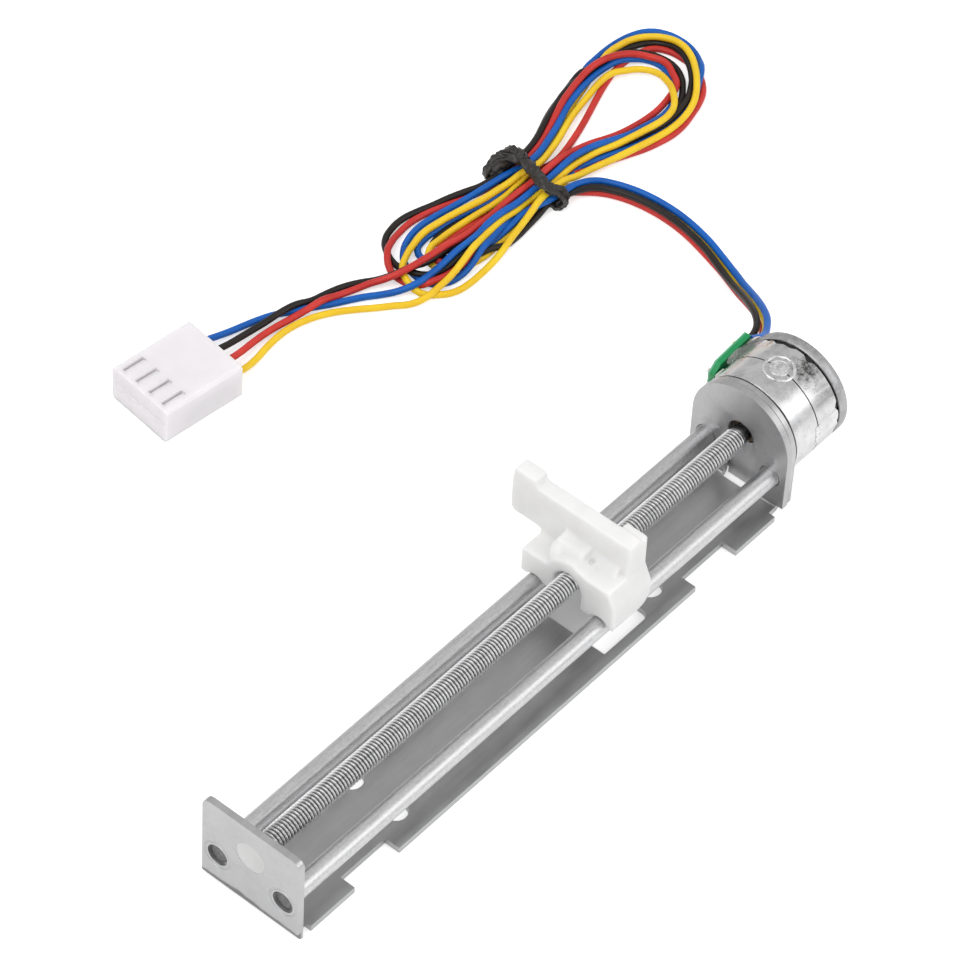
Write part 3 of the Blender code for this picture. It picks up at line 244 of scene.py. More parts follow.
def smooth_below(piece, corner):
    """Smooth shading over every edge that turns less than an angle."""
    hold(piece)
    bpy.ops.object.shade_smooth_by_angle(angle=math.radians(corner))


def apply_modifier(piece, kind, **settings):
    """Gives a piece a modifier and applies it."""
    step = piece.modifiers.new(kind.lower(), kind)
    for key, value in settings.items():
        setattr(step, key, value)
    hold(piece)
    bpy.ops.object.modifier_apply(modifier=step.name)


def soften_edges(piece, width, steps, corner):
    """Small round edges wherever two faces meet at a real corner, and smooth shading between."""
    smooth_below(piece, corner)
    apply_modifier(
        piece, "BEVEL", width=width, segments=steps, limit_method="ANGLE", angle_limit=math.radians(corner),
        harden_normals=True,
    )


def finish_piece(piece, material, body, slot, *nodes):
    """Gives a piece its finish and its body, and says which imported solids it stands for."""
    piece.data.materials.clear()
    piece.data.materials.append(material)
    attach(piece, body)
    if nodes:
        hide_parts(*nodes)


def dress(node, material):
    """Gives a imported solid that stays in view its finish."""
    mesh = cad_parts[node].data
    mesh.materials.clear()
    mesh.materials.append(material)


def carve(piece, tool, operation="DIFFERENCE"):
    """Cuts one shape out of another, or adds it on, and takes the tool away."""
    apply_modifier(piece, "BOOLEAN", operation=operation, solver="EXACT", object=tool)
    bpy.data.objects.remove(tool)


def settle_place(name):
    """Names the newest primitive, and puts its place, turn and size into its mesh."""
    piece = bpy.context.object
    piece.name = name
    bpy.ops.object.transform_apply(location=True, rotation=True, scale=True)
    return piece


def clouds(owner, place, scale, detail, roughness=0.5):
    """A soft noise over the object."""
    wiring = {"Vector": place, "Scale": scale, "Detail": detail, "Roughness": roughness}
    return add_node(owner, "TexNoise", wiring).outputs["Fac"]


def bumps(owner, height, strength, distance):
    """A shallow relief."""
    wiring = {"Height": height, "Strength": strength, "Distance": distance}
    return add_node(owner, "Bump", wiring).outputs["Normal"]


def moulded_plastic(name, light, shade, gloss, rough, depth):
    """Moulded plastic: a cloudy tone, a little light inside it, and a fine mould texture."""
    material, shader = start_material(name)
    place = add_node(material, "TexCoord").outputs["Object"]
    tone = two_tones(material, clouds(material, place, 330.0, 3.0), 0.3, shade, 0.65, light)
    skin = clouds(material, place, 5200.0, 2.0)
    feed(material, shader, {
        "Base Color": tone,
        "Roughness": span(material, skin, 0.0, 1.0, gloss, rough),
        "Normal": bumps(material, skin, 0.2, 0.00001),
        "Subsurface Weight": depth,
        "Subsurface Radius": (0.0012, 0.0010, 0.0009),
        "Subsurface Scale": 0.6,
    })
    return material, shader, place, tone


def metal_finish(name, light, dark, gloss, rough, grain, patch):
    """Bare or plated metal: patchy tone, marks drawn along one way, and an uneven gloss."""
    material, shader = start_material(name)
    place = add_node(material, "TexCoord").outputs["Object"]
    patches = clouds(material, place, patch, 4.0, 0.6)
    drawn_out = add_node(material, "Mapping", {"Vector": place, "Scale": grain}).outputs["Vector"]
    drawn = clouds(material, drawn_out, 1.0, 3.0, 0.7)
    half = maths(material, "MULTIPLY", maths(material, "ADD", patches, drawn), 0.5)
    tone = two_tones(material, half, 0.36, dark, 0.6, light)
    feed(material, shader, {
        "Metallic": 1.0,
        "Base Color": tone,
        "Roughness": span(material, half, 0.35, 0.65, gloss, rough),
        "Normal": bumps(material, drawn, 0.2, 0.000006),
    })
    return material, shader, place, tone


plug_plastic, plug_shader, *_ = moulded_plastic(
    "plug_nylon", (0.82, 0.785, 0.81), (0.79, 0.755, 0.78), 0.38, 0.52, 0.75
)
plug_shader.inputs["Subsurface Radius"].default_value = (0.0034, 0.0032, 0.0033)
plug_frame = Matrix.Translation((*plug_middle[:2], 0)) @ Matrix.Rotation(plug_turn, 4, "Z")
plug_body = whole_copy("plug_housing", "plug_body")
for way in plug_ways.values():
    for size, (along, across, height) in window_fillings:
        middle = (along, plug_pitch * way + across, height)
        bpy.ops.mesh.primitive_cube_add(size=1, location=middle, scale=size)
        filling = settle_place("window_filling")
        filling.data.transform(plug_frame)
        carve(plug_body, filling, "UNION")
bpy.ops.mesh.primitive_cube_add(size=1, location=ledge_place, scale=ledge_size)
ledge = settle_place("window_ledge")
ledge.data.transform(plug_frame)
carve(plug_body, ledge)
soften_edges(plug_body, plug_edge, 3, 35)
finish_piece(plug_body, plug_plastic, "frame", "plug_plastic", "plug_housing")

contact_metal, *_ = metal_finish(
    "tinned_contact", (0.80, 0.76, 0.62), (0.58, 0.54, 0.42), 0.30, 0.46, (300, 3000, 3000), 900.0
)
for colour in plug_ways:
    dress("plug_contact_" + colour, contact_metal)


# Tie
# A flat black plastic tie with a thin wire inside. It goes once round the waist of the hank over
# the wires, and its ends are twisted together into a lump on the far side.
tie_band = [
    (67.6, 47.3, 1.1), (67.7, 47.3, 2.0), (67.2, 48.0, 3.3), (66.4, 49.3, 4.1), (66.8, 51.2, 4.4),
    (67.5, 53.2, 4.4), (68.3, 55.2, 4.2), (68.6, 56.9, 3.6), (68.5, 58.0, 2.4), (68.2, 58.0, 1.1),
    (67.7, 56.6, 0.35), (67.3, 53.5, 0.3), (67.3, 50.0, 0.3), (67.4, 48.0, 0.45),
]
tie_tail = [
    (67.9, 54.6, 4.3), (68.5, 55.9, 4.2), (68.0, 56.9, 4.0), (67.1, 57.7, 3.5), (66.0, 58.0, 2.9),
    (65.2, 57.9, 2.1), (64.8, 57.6, 1.2),
]
tie_fold = [(68.2, 55.0, 4.3), (67.6, 56.1, 4.0), (66.7, 56.8, 3.5), (65.8, 57.2, 2.9), (65.0, 57.3, 1.9)]
tie_end = [(66.4, 49.4, 3.9), (67.2, 48.4, 3.5), (68.1, 47.8, 2.5), (68.1, 47.7, 1.4), (67.5, 48.3, 0.9)]


def smooth_line(points, spacing):
    """Evenly spaced places on a smooth line through chosen ones."""
    given = np.array(points, float)
    padded = np.vstack([2 * given[0] - given[1], given, 2 * given[-1] - given[-2]])
    fine = []
    for index in range(len(given) - 1):
        before, start, end, after = padded[index:index + 4]
        for t in np.linspace(0, 1, 12, endpoint=False):
            slope = (end - before) * t
            bend = (2 * before - 5 * start + 4 * end - after) * t ** 2
            twist = (3 * start - before - 3 * end + after) * t ** 3
            fine.append(0.5 * (2 * start + slope + bend + twist))
    fine.append(given[-1])
    fine = np.array(fine)
    travelled = np.concatenate([[0], np.cumsum(np.linalg.norm(np.diff(fine, axis=0), axis=1))])
    wanted = np.linspace(0, travelled[-1], round(travelled[-1] / spacing) + 1)
    return np.stack([np.interp(wanted, travelled, fine[:, axis]) for axis in range(3)], axis=1)


def tie_wave(part):
    """How far the band leans as it goes round the waist."""
    return 0.9 * math.sin(2 * math.pi * part * 3)


def twisted_band(name, line, across, width, depth, turns, offset):
    """A flat band swept along a line, that turns about it as it goes and bulges over its wire."""
    heading = np.gradient(line, axis=0)
    heading /= np.linalg.norm(heading, axis=1)[:, None]
    share = np.linspace(0, 1, len(line))
    sides = 20
    verts = []
    for place, ahead, part in zip(line, heading, share):
        side = np.array(across, float)
        side -= ahead * (side @ ahead)
        side /= np.linalg.norm(side)
        above = np.cross(ahead, side)
        angle = turns(part)
        wide = math.cos(angle) * side + math.sin(angle) * above
        thin = np.cross(ahead, wide)
        middle = place + thin * offset
        for index in range(sides):
            t = 2 * math.pi * index / sides
            bulge = 1 + 0.9 * math.exp(-(math.cos(t) / 0.3) ** 2)
            verts.append(middle + wide * math.cos(t) * width / 2 + thin * math.sin(t) * depth / 2 * bulge)
    faces = []
    for ring in range(len(line) - 1):
        for index in range(sides):
            after = (index + 1) % sides
            low, high = ring * sides, (ring + 1) * sides
            faces.append((low + index, low + after, high + after, high + index))
    faces.append(tuple(range(sides - 1, -1, -1)))
    faces.append(tuple((len(line) - 1) * sides + index for index in range(sides)))
    mesh = bpy.data.meshes.new(name)
    mesh.from_pydata([tuple(vert) for vert in verts], [], faces)
    piece = bpy.data.objects.new(name, mesh)
    bpy.context.scene.collection.objects.link(piece)
    return piece


def crease(piece, scale, depth, seed):
    """Uneven dents over a soft piece."""
    rest = [vert.co.copy() for vert in piece.data.vertices]
    ways = [vert.normal.copy() for vert in piece.data.vertices]
    shift = Vector((seed, 0, 0))
    for vert, place, way in zip(piece.data.vertices, rest, ways):
        vert.co = place + way * depth * noise.noise(place * scale + shift)


def join_pieces(main, *others):
    """Makes one piece of several."""
    hold(main)
    for other in others:
        other.select_set(True)
    bpy.ops.object.join()
    return main


tie_shapes = (
    ("twist_tie", tie_band + tie_band[:1], 0.15, (1, 0, 0), 0.0018, 0.0005, tie_wave, 0.0),
    ("tie_tail_one", tie_tail, 0.12, (0, 0, 1), 0.0016, 0.0008, lambda part: 7.0 * part, 0.0003),
    ("tie_tail_two", tie_tail, 0.12, (0, 0, 1), 0.0016, 0.0008, lambda part: 7.0 * part, -0.0003),
    ("tie_end", tie_end, 0.12, (1, 0.3, 0), 0.0017, 0.0005, lambda part: 2.6 * part, 0.0),
    ("tie_fold", tie_fold, 0.12, (0, 0, 1), 0.0019, 0.0009, lambda part: 4.0 * part + 0.8, 0.0),
)
crease_scale = 1900.0
crease_depth = 0.00022
tie_parts = []
for number, (name, points, spacing, across, width, depth, turns, offset) in enumerate(tie_shapes):
    line = smooth_line(points, spacing) / 1000
    part = twisted_band(name, line, across, width, depth, turns, offset)
    crease(part, crease_scale, crease_depth, 3.7 * number)
    part.data.shade_smooth()
    tie_parts.append(part)
twist_tie = join_pieces(*tie_parts)

tie_plastic, *_ = moulded_plastic("tie_vinyl", (0.030, 0.026, 0.023), (0.014, 0.012, 0.011), 0.36, 0.55, 0.0)
finish_piece(twist_tie, tie_plastic, "frame", "tie_black", "wire_tie")


# Wires
# Four thin stranded wires in bright plastic insulation. Each is one length from the motor's board
# to the plug, and its spare length is folded into a hank of two turns that a tie holds together.
wire_thickness = 0.00095
wire_floor = 0.00052
tie_place = 0.0673
tie_lift = 0.0006
tie_reach = 0.0035
wire_homing = 0.06
wire_weight = 0.006
wire_stiffness = 0.12
wire_spacing = 0.8
settle_rounds = 240
lead_middle = [
    (63.9, 11.1, 8.9), (66.6, 14.1, 7.0), (69.1, 17.6, 4.8), (71.0, 20.7, 3.0), (72.7, 23.7, 2.0),
    (74.2, 27.0, 1.5), (75.2, 30.3, 1.3), (75.9, 34.1, 1.3), (76.0, 37.6, 1.3), (75.6, 41.1, 1.3),
    (74.5, 44.5, 1.3), (72.6, 47.2, 1.3),
]
lead_places = {
    "blue": (-0.66, 0.55, [(56.9, 8.0, 12.1), (58.6, 8.0, 11.2), (60.9, 8.5, 10.1)]),
    "black": (0.62, 0.55, [(56.0, 9.6, 9.5), (58.6, 10.2, 8.7), (61.1, 10.5, 8.7)]),
    "red": (0.62, -0.55, [
        (56.0, 9.6, 8.4), (58.6, 9.6, 7.5), (61.1, 9.9, 7.4), (64.0, 10.9, 8.2), (66.7, 13.8, 6.3),
        (69.2, 17.2, 4.1), (71.1, 20.4, 2.3), (72.7, 23.6, 1.4),
    ]),
    "yellow": (-0.50, -0.55, [(56.0, 9.6, 10.6), (58.4, 9.2, 9.8), (61.1, 9.2, 8.8)]),
}
hank_turns = {
    "blue": [
        (67.3, 48.7, 1.6), (62.1, 50.1, 0.7), (57.8, 49.9, 0.6), (54.2, 50.3, 0.6), (48.9, 52.0, 0.6),
        (47.7, 55.1, 1.2), (49.7, 57.0, 1.8), (55.4, 56.5, 1.8), (62.2, 54.6, 1.8), (67.3, 55.1, 1.6),
        (75.5, 56.6, 1.0), (79.7, 58.3, 0.8), (83.5, 59.8, 0.8), (87.0, 60.8, 1.0), (93.2, 62.4, 1.6),
        (98.2, 62.1, 1.7), (101.9, 60.3, 1.7), (103.2, 56.2, 1.7), (101.7, 51.7, 1.4), (95.9, 47.7, 0.6),
        (89.7, 47.1, 0.6), (85.6, 47.5, 0.6), (81.1, 48.7, 0.6), (76.6, 50.2, 0.6), (67.3, 51.3, 0.6),
        (61.9, 50.8, 1.4), (58.5, 50.5, 1.4), (52.8, 49.4, 1.2), (48.0, 49.2, 0.8), (44.8, 51.3, 0.6),
        (45.2, 55.4, 0.8), (47.6, 57.8, 2.0), (51.6, 58.9, 2.2), (58.6, 57.6, 2.4), (67.3, 55.5, 2.6),
        (70.4, 55.0, 2.6), (76.7, 56.8, 2.4), (82.0, 58.8, 2.2), (88.1, 59.9, 2.2), (92.3, 59.9, 2.0),
        (96.4, 58.0, 1.4), (97.5, 56.2, 1.2), (97.2, 53.6, 1.2), (93.5, 49.5, 1.3), (89.2, 48.5, 1.8),
        (84.4, 48.9, 1.8), (82.2, 49.7, 1.8), (75.9, 51.4, 2.2), (72.8, 51.5, 2.5), (67.3, 51.1, 2.6),
        (60.2, 51.2, 3.0), (54.3, 51.3, 3.0), (51.2, 51.2, 3.0), (45.5, 51.5, 3.0), (43.0, 51.8, 2.6),
        (39.9, 54.1, 1.1),
    ],
    "black": [
        (67.3, 49.1, 0.6), (60.8, 48.8, 0.7), (58.0, 48.3, 0.7), (50.9, 50.5, 0.7), (49.1, 53.5, 1.1),
        (49.7, 55.1, 1.4), (51.7, 55.9, 1.6), (55.7, 55.9, 1.6), (62.3, 54.3, 1.6), (67.3, 57.2, 1.6),
        (72.5, 57.3, 1.4), (76.6, 58.8, 1.2), (80.7, 60.3, 1.0), (86.9, 61.4, 1.1), (89.8, 61.2, 1.4),
        (95.1, 61.3, 1.6), (99.9, 59.1, 1.6), (100.9, 57.2, 1.6), (100.4, 52.8, 1.6), (96.8, 49.0, 1.6),
        (92.2, 47.3, 1.5), (86.8, 47.3, 1.2), (80.2, 49.7, 0.8), (76.4, 50.9, 0.7), (67.3, 52.5, 0.6),
        (59.8, 51.6, 0.9), (53.1, 51.1, 0.9), (50.3, 50.7, 1.0), (46.3, 51.6, 0.8), (45.2, 52.8, 0.8),
        (44.5, 56.3, 0.7), (46.1, 59.8, 0.8), (47.7, 61.0, 1.0), (51.9, 61.6, 1.4), (58.6, 59.3, 2.0),
        (63.7, 56.8, 2.4), (67.3, 56.9, 2.6), (72.8, 57.2, 2.4), (76.9, 58.7, 2.2), (83.1, 60.6, 1.9),
        (86.0, 61.0, 1.8), (91.9, 60.7, 1.8), (94.9, 59.9, 1.7), (98.5, 56.7, 1.6), (98.3, 52.5, 1.7),
        (94.9, 49.2, 1.6), (91.5, 47.8, 1.4), (87.4, 47.9, 1.3), (82.2, 49.7, 1.2), (75.9, 51.4, 1.4),
        (67.3, 52.9, 1.6), (61.5, 52.3, 2.2), (57.7, 52.5, 2.3), (53.8, 52.6, 2.3), (47.0, 53.1, 2.2),
        (42.7, 55.0, 1.9), (41.3, 56.4, 1.4),
    ],
    "red": [
        (67.3, 50.2, 0.6), (64.1, 50.0, 0.6), (57.3, 50.3, 0.6), (54.1, 51.0, 0.6), (49.0, 51.5, 0.7),
        (48.1, 53.6, 1.2), (52.6, 54.4, 1.4), (58.5, 54.0, 1.0), (62.3, 53.7, 0.8), (67.3, 54.9, 0.6),
        (72.2, 53.8, 1.0), (75.0, 53.8, 1.4), (80.5, 55.2, 1.3), (84.0, 56.4, 1.2), (89.4, 58.3, 1.0),
        (93.4, 59.1, 1.0), (99.0, 58.3, 1.0), (100.7, 55.6, 1.2), (99.6, 50.0, 0.8), (95.8, 47.0, 0.6),
        (90.6, 45.5, 0.6), (87.8, 45.5, 0.6), (82.9, 46.7, 0.6), (78.3, 49.0, 0.6), (75.3, 49.9, 0.6),
        (67.3, 53.7, 0.6), (62.4, 51.4, 1.4), (55.8, 50.4, 1.6), (50.3, 49.9, 1.2), (45.5, 50.5, 0.9),
        (43.7, 51.9, 0.9), (43.0, 55.4, 0.8), (44.4, 57.9, 1.6), (47.4, 59.7, 1.8), (51.8, 60.4, 1.8),
        (56.6, 59.3, 1.8), (62.3, 57.3, 1.7), (67.3, 56.2, 1.6), (72.8, 56.4, 1.8), (76.8, 57.6, 2.2),
        (82.9, 59.8, 2.9), (88.9, 60.6, 3.0), (94.3, 59.4, 2.9), (97.4, 56.2, 2.7), (97.7, 54.4, 2.4),
        (95.5, 50.6, 2.0), (94.2, 50.0, 1.6), (88.8, 49.9, 1.8), (81.7, 51.0, 2.0), (75.9, 52.3, 2.3),
        (73.0, 52.5, 2.6), (67.3, 52.3, 2.6), (61.7, 52.5, 3.1), (55.8, 52.6, 3.2), (50.1, 52.9, 3.2),
        (47.2, 53.0, 3.2), (42.8, 54.3, 3.0), (41.2, 55.5, 2.2),
    ],
    "yellow": [
        (67.3, 49.6, 1.6), (61.9, 49.6, 0.6), (55.1, 49.3, 0.6), (49.5, 50.5, 0.6), (47.9, 53.5, 0.9),
        (48.8, 54.6, 1.3), (52.8, 55.2, 2.2), (58.0, 54.5, 2.2), (63.2, 53.7, 2.2), (67.3, 54.0, 1.6),
        (75.4, 56.2, 1.2), (79.7, 57.7, 1.2), (83.5, 59.2, 1.2), (87.1, 60.2, 1.2), (93.0, 61.3, 1.9),
        (98.0, 60.8, 2.5), (100.0, 59.5, 2.5), (101.5, 55.7, 2.6), (99.4, 50.7, 2.7), (95.0, 47.1, 2.6),
        (90.3, 45.8, 2.5), (84.5, 46.4, 2.5), (78.1, 48.1, 2.5), (75.0, 48.9, 2.5), (72.2, 49.2, 2.6),
        (67.3, 49.4, 2.6), (61.6, 48.9, 2.3), (56.5, 48.0, 2.0), (50.9, 47.4, 0.8), (46.2, 47.7, 0.6),
        (43.3, 50.3, 0.6), (42.8, 52.7, 1.0), (44.9, 55.6, 2.0), (50.2, 57.3, 2.5), (55.5, 56.7, 2.5),
        (60.7, 55.1, 2.6), (67.3, 54.2, 2.6), (70.1, 54.0, 2.6), (77.0, 55.8, 2.5), (80.6, 57.1, 2.4),
        (86.2, 58.3, 2.3), (90.7, 58.6, 2.3), (94.4, 56.8, 2.3), (95.7, 53.9, 2.3), (93.8, 50.1, 2.6),
        (90.7, 47.4, 2.6), (86.7, 47.3, 2.0), (81.5, 49.1, 1.6), (75.5, 51.0, 1.4), (67.3, 50.5, 1.6),
        (64.6, 50.9, 2.0), (58.8, 50.8, 2.3), (51.7, 49.9, 2.8), (48.6, 49.5, 2.8), (42.4, 49.6, 2.2),
        (39.7, 51.5, 0.8),
    ],
}
plug_ends = {
    "blue": [(38.0, 55.6, 0.6), (34.5, 57.7, 0.6), (30.5, 60.2, 0.6), (27.0, 62.4, 0.7), (23.0, 63.9, 1.4),
             (18.5, 64.9, 2.5)],
    "black": [(38.8, 58.2, 0.8), (36.0, 59.5, 1.0), (31.0, 60.7, 1.4), (26.5, 61.8, 1.8), (22.5, 62.3, 2.3),
              (18.5, 62.5, 2.8)],
    "red": [(39.2, 57.0, 1.5), (36.0, 58.0, 1.9), (31.0, 59.3, 1.9), (26.5, 60.4, 1.9), (22.5, 60.7, 2.3),
            (18.5, 60.4, 2.8)],
    "yellow": [(37.2, 53.4, 0.6), (33.9, 56.2, 0.6), (30.5, 58.2, 0.6), (26.5, 59.3, 0.6), (22.2, 59.1, 1.2),
               (18.0, 58.3, 2.4)],
}


def beside_line(points, side, level):
    """The lead's middle line moved sideways and up."""
    middle = np.array(points, float)
    heading = np.gradient(middle, axis=0)
    heading /= np.linalg.norm(heading, axis=1)[:, None]
    left = np.cross((0, 0, 1), heading)
    left /= np.linalg.norm(left, axis=1)[:, None]
    return [tuple(place) for place in middle + left * side + np.cross(heading, left) * level]


def settle(lines, thickness, ground, rounds):
    """Lets lines that touch push each other aside, lie on the ground or the tie, and bend evenly."""
    places = np.vstack(lines)
    owner = np.concatenate([np.full(len(line), index) for index, line in enumerate(lines)])
    order = np.concatenate([np.arange(len(line)) for line in lines])
    home = places.copy()
    fixed = np.zeros(len(places), bool)
    for index, line in enumerate(lines):
        fixed |= (owner == index) & ((order < 3) | (order > len(line) - 4))
    inner = np.where(~fixed)[0]
    for turn in range(rounds):
        if turn % 10 == 0:
            square = (places ** 2).sum(axis=1)
            apart = square[:, None] + square[None] - 2 * places @ places.T
            one, other = np.where(apart < (thickness * 1.6) ** 2)
            kept = (one < other) & ((owner[one] != owner[other]) | (np.abs(order[one] - order[other]) > 5))
            one, other = one[kept], other[kept]
        gap = places[one] - places[other]
        distance = np.maximum(np.linalg.norm(gap, axis=1), 1e-9)
        overlap = np.maximum(thickness - distance, 0)
        shove = gap / distance[:, None] * overlap[:, None] * 0.5
        push = np.zeros_like(places)
        count = np.ones(len(places))
        np.add.at(push, one, shove)
        np.add.at(push, other, -shove)
        np.add.at(count, one, overlap > 0)
        np.add.at(count, other, overlap > 0)
        places += push / np.maximum(count[:, None] - 1, 1) ** 0.5
        places[:, :2] += wire_homing * (home[:, :2] - places[:, :2])
        places[:, 2] -= thickness * wire_weight
        straight = (places[inner - 1] + places[inner + 1]) / 2 - places[inner]
        places[inner] += wire_stiffness * straight
        places[fixed] = home[fixed]
        over_tie = tie_lift * np.exp(-((places[:, 0] - tie_place) / tie_reach) ** 2)
        places[:, 2] = np.maximum(places[:, 2], ground + over_tie)
    return [places[owner == index] for index in range(len(lines))]


def insulation(name, colour, deep_colour):
    """Smooth extruded plastic: slight cloudiness, fine drawn lines and a satin gloss."""
    material, shader = start_material(name)
    place = add_node(material, "TexCoord").outputs["Object"]
    scuff = clouds(material, place, 2400.0, 2.0)
    tone = two_tones(material, clouds(material, place, 260.0, 3.0), 0.3, deep_colour, 0.72, colour)
    feed(material, shader, {
        "Base Color": tone,
        "Roughness": span(material, scuff, 0.0, 1.0, 0.34, 0.52),
        "Normal": bumps(material, scuff, 0.25, 0.00002),
        "Specular IOR Level": 0.32,
        "Subsurface Weight": 0.06,
        "Subsurface Radius": (0.0006, 0.0004, 0.0003),
        "Subsurface Scale": 0.4,
    })
    return material


insulations = {
    "blue": insulation("blue_insulation", (0.002, 0.125, 0.52), (0.002, 0.09, 0.40)),
    "black": insulation("black_insulation", (0.017, 0.012, 0.010), (0.009, 0.007, 0.006)),
    "red": insulation("red_insulation", (0.64, 0.042, 0.034), (0.48, 0.025, 0.020)),
    "yellow": insulation("yellow_insulation", (0.90, 0.63, 0.022), (0.80, 0.50, 0.015)),
}

rough_lines = []
for colour, (side, level, start) in lead_places.items():
    plug_side = Matrix.Rotation(plug_turn, 3, "Z") @ Vector((0.0040, plug_pitch * plug_ways[colour], 0.0002))
    plug_inside = tuple((plug_middle + plug_side) * 1000)
    lead = start + beside_line(lead_middle, side, level)[max(0, len(start) - 3):]
    chosen = lead + hank_turns[colour] + plug_ends[colour] + [plug_inside]
    rough_lines.append(smooth_line(chosen, wire_spacing) / 1000)
settled_lines = settle(rough_lines, wire_thickness * 1.01, wire_floor, settle_rounds)

for colour, line in zip(lead_places, settled_lines):
    strand = bpy.data.curves.new("wire_" + colour, "CURVE")
    strand.dimensions = "3D"
    strand.bevel_depth = wire_thickness / 2
    strand.bevel_resolution = 4
    strand.resolution_u = 3
    strand.use_fill_caps = True
    knots = line[:: 3]
    spline = strand.splines.new("BEZIER")
    spline.bezier_points.add(len(knots) - 1)
    for knot, place in zip(spline.bezier_points, knots):
        knot.co = place
        knot.handle_left_type = "AUTO"
        knot.handle_right_type = "AUTO"
    strand.materials.append(insulations[colour])
    wire = bpy.data.objects.new("wire_" + colour, strand)
    bpy.context.scene.collection.objects.link(wire)
    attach(wire, "frame")
    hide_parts("wire_" + colour + "_lead", "wire_" + colour + "_tail", "wire_hank")


# Bracket
# One strip of zinc-plated sheet steel, punched and bent up at both ends. The ears are coined round
# the rod holes, and the edge of the screw's keyhole in the rear ear is rolled over.
front_face = -0.04615
rear_face = 0.04520
rod_height = 0.00564
rod_offset = 0.00517
screw_height = 0.00949
bracket_edge = 0.00022
keyhole_edge = 0.00028
coin_radius = 0.00200
coin_width = 0.00016
keyhole_reach = 0.00306
keyhole_low = 0.0028
keyhole_high = screw_height + 0.0021
# Painted shade along the foot of the front ear, at the bend: its height, how much its edge wavers, and its
# colour.
bend_shade_height = 0.0021
bend_shade_waver = 0.0012
bend_shade_colour = (0.19, 0.19, 0.195, 1)
stake_radius = 0.0019
stake_rise = 0.00008
stake_offset = 0.00475
stake_places = ((1, 0.0079, 1.0), (-1, 0.0081, 1.15))


def pick_edges(piece, wanted):
    """Selects the edges of a piece whose two ends a test accepts."""
    hold(piece)
    bpy.ops.object.mode_set(mode="EDIT")
    bpy.ops.mesh.select_mode(type="EDGE")
    bpy.ops.mesh.select_all(action="DESELECT")
    bpy.ops.object.mode_set(mode="OBJECT")
    places = [vert.co for vert in piece.data.vertices]
    for edge in piece.data.edges:
        one, other = (places[index] for index in edge.vertices)
        edge.select = wanted(one) and wanted(other)
    bpy.ops.object.mode_set(mode="EDIT")


bracket_sheet = whole_copy("bracket", "bracket_sheet")
for side in (-1, 1):
    bpy.ops.mesh.primitive_torus_add(
        major_segments=56,
        minor_segments=8,
        major_radius=coin_radius,
        minor_radius=coin_width,
        location=(front_face - coin_width * 0.35, side * rod_offset, rod_height),
        rotation=(0, math.pi / 2, 0),
    )
    carve(bracket_sheet, settle_place("coining_tool"))


def on_keyhole(place):
    """Whether a corner lies on the keyhole's edge, on the side of the rear ear that faces the screw."""
    inside = abs(place.x - rear_face) < 0.00002
    return inside and abs(place.y) < keyhole_reach and keyhole_low < place.z < keyhole_high


pick_edges(bracket_sheet, on_keyhole)
bpy.ops.mesh.bevel(offset=keyhole_edge, segments=4, affect="EDGES")
bpy.ops.object.mode_set(mode="OBJECT")
soften_edges(bracket_sheet, bracket_edge, 2, 35)
plated_steel, plated_shader, plated_place, plated_tone = metal_finish(
    "zinc_plated_steel", (0.51, 0.51, 0.515), (0.44, 0.44, 0.445), 0.36, 0.48, (120, 1400, 1400), 240.0
)
# Painted shade: the front ear is painted dark along its foot, at the bend, up to a wavering edge.
bend_sides = add_node(plated_steel, "SeparateXYZ", {"Vector": plated_place}).outputs
bend_wave = clouds(plated_steel, plated_place, 420.0, 2.0)
bend_rise = maths(plated_steel, "MULTIPLY_ADD", bend_wave, bend_shade_waver, bend_sides["Z"])
bend_low = span(plated_steel, bend_rise, bend_shade_height + 0.0002, bend_shade_height - 0.0001)
bend_near = span(plated_steel, bend_sides["X"], front_face + 0.0007, front_face + 0.0004)
bend_shade = maths(plated_steel, "MULTIPLY", bend_low, bend_near)
bend_shaded_tone = mixed(plated_steel, bend_shade, plated_tone, bend_shade_colour)
feed(plated_steel, plated_shader, {"Base Color": bend_shaded_tone})
finish_piece(bracket_sheet, plated_steel, "frame", "plated_steel", "bracket")

for side, height, wide in stake_places:
    bpy.ops.mesh.primitive_uv_sphere_add(
        segments=40,
        ring_count=20,
        radius=stake_radius,
        location=(rear_face + 0.00002, side * stake_offset, height),
        scale=(stake_rise / stake_radius, wide, 0.72),
    )
    stake = settle_place("rod_stake_left" if side > 0 else "rod_stake_right")
    for vert in stake.data.vertices:
        vert.co.x += 0.00009 * noise.noise(vert.co * 1500)
        vert.co.z += 0.00025 * noise.noise(vert.co * 700)
    stake.data.shade_smooth()
    finish_piece(stake, plated_steel, "frame", "plated_steel")


# Guide rods
# Ground and polished steel, pressed through both ears. The front ends sit a little inside the
# ear's face and are painted dark, partly for the rough cut and partly as painted shade in that recess.
rod_radius = 0.0013
rod_front = front_face + 0.00035
rod_rear = 0.0460
rod_lip = 0.00008
rod_steel, rod_shader, rod_place, rod_tone = metal_finish(
    "ground_rod_steel", (0.66, 0.66, 0.665), (0.50, 0.50, 0.505), 0.38, 0.50, (220, 5200, 5200), 2600.0
)
# The front end is painted near black: partly the rough cut, partly painted shade in its recess in the ear.
rod_along = add_node(rod_steel, "SeparateXYZ", {"Vector": rod_place}).outputs["X"]
rod_end_cut_and_shade = span(rod_steel, rod_along, rod_front + 0.00012, rod_front + 0.00004)
rod_grit = clouds(rod_steel, rod_place, 4200.0, 3.0)
rod_raw_and_shaded = two_tones(rod_steel, rod_grit, 0.35, (0.10, 0.10, 0.10), 0.65, (0.20, 0.20, 0.20))
feed(rod_steel, rod_shader, {"Base Color": mixed(rod_steel, rod_end_cut_and_shade, rod_tone, rod_raw_and_shaded)})
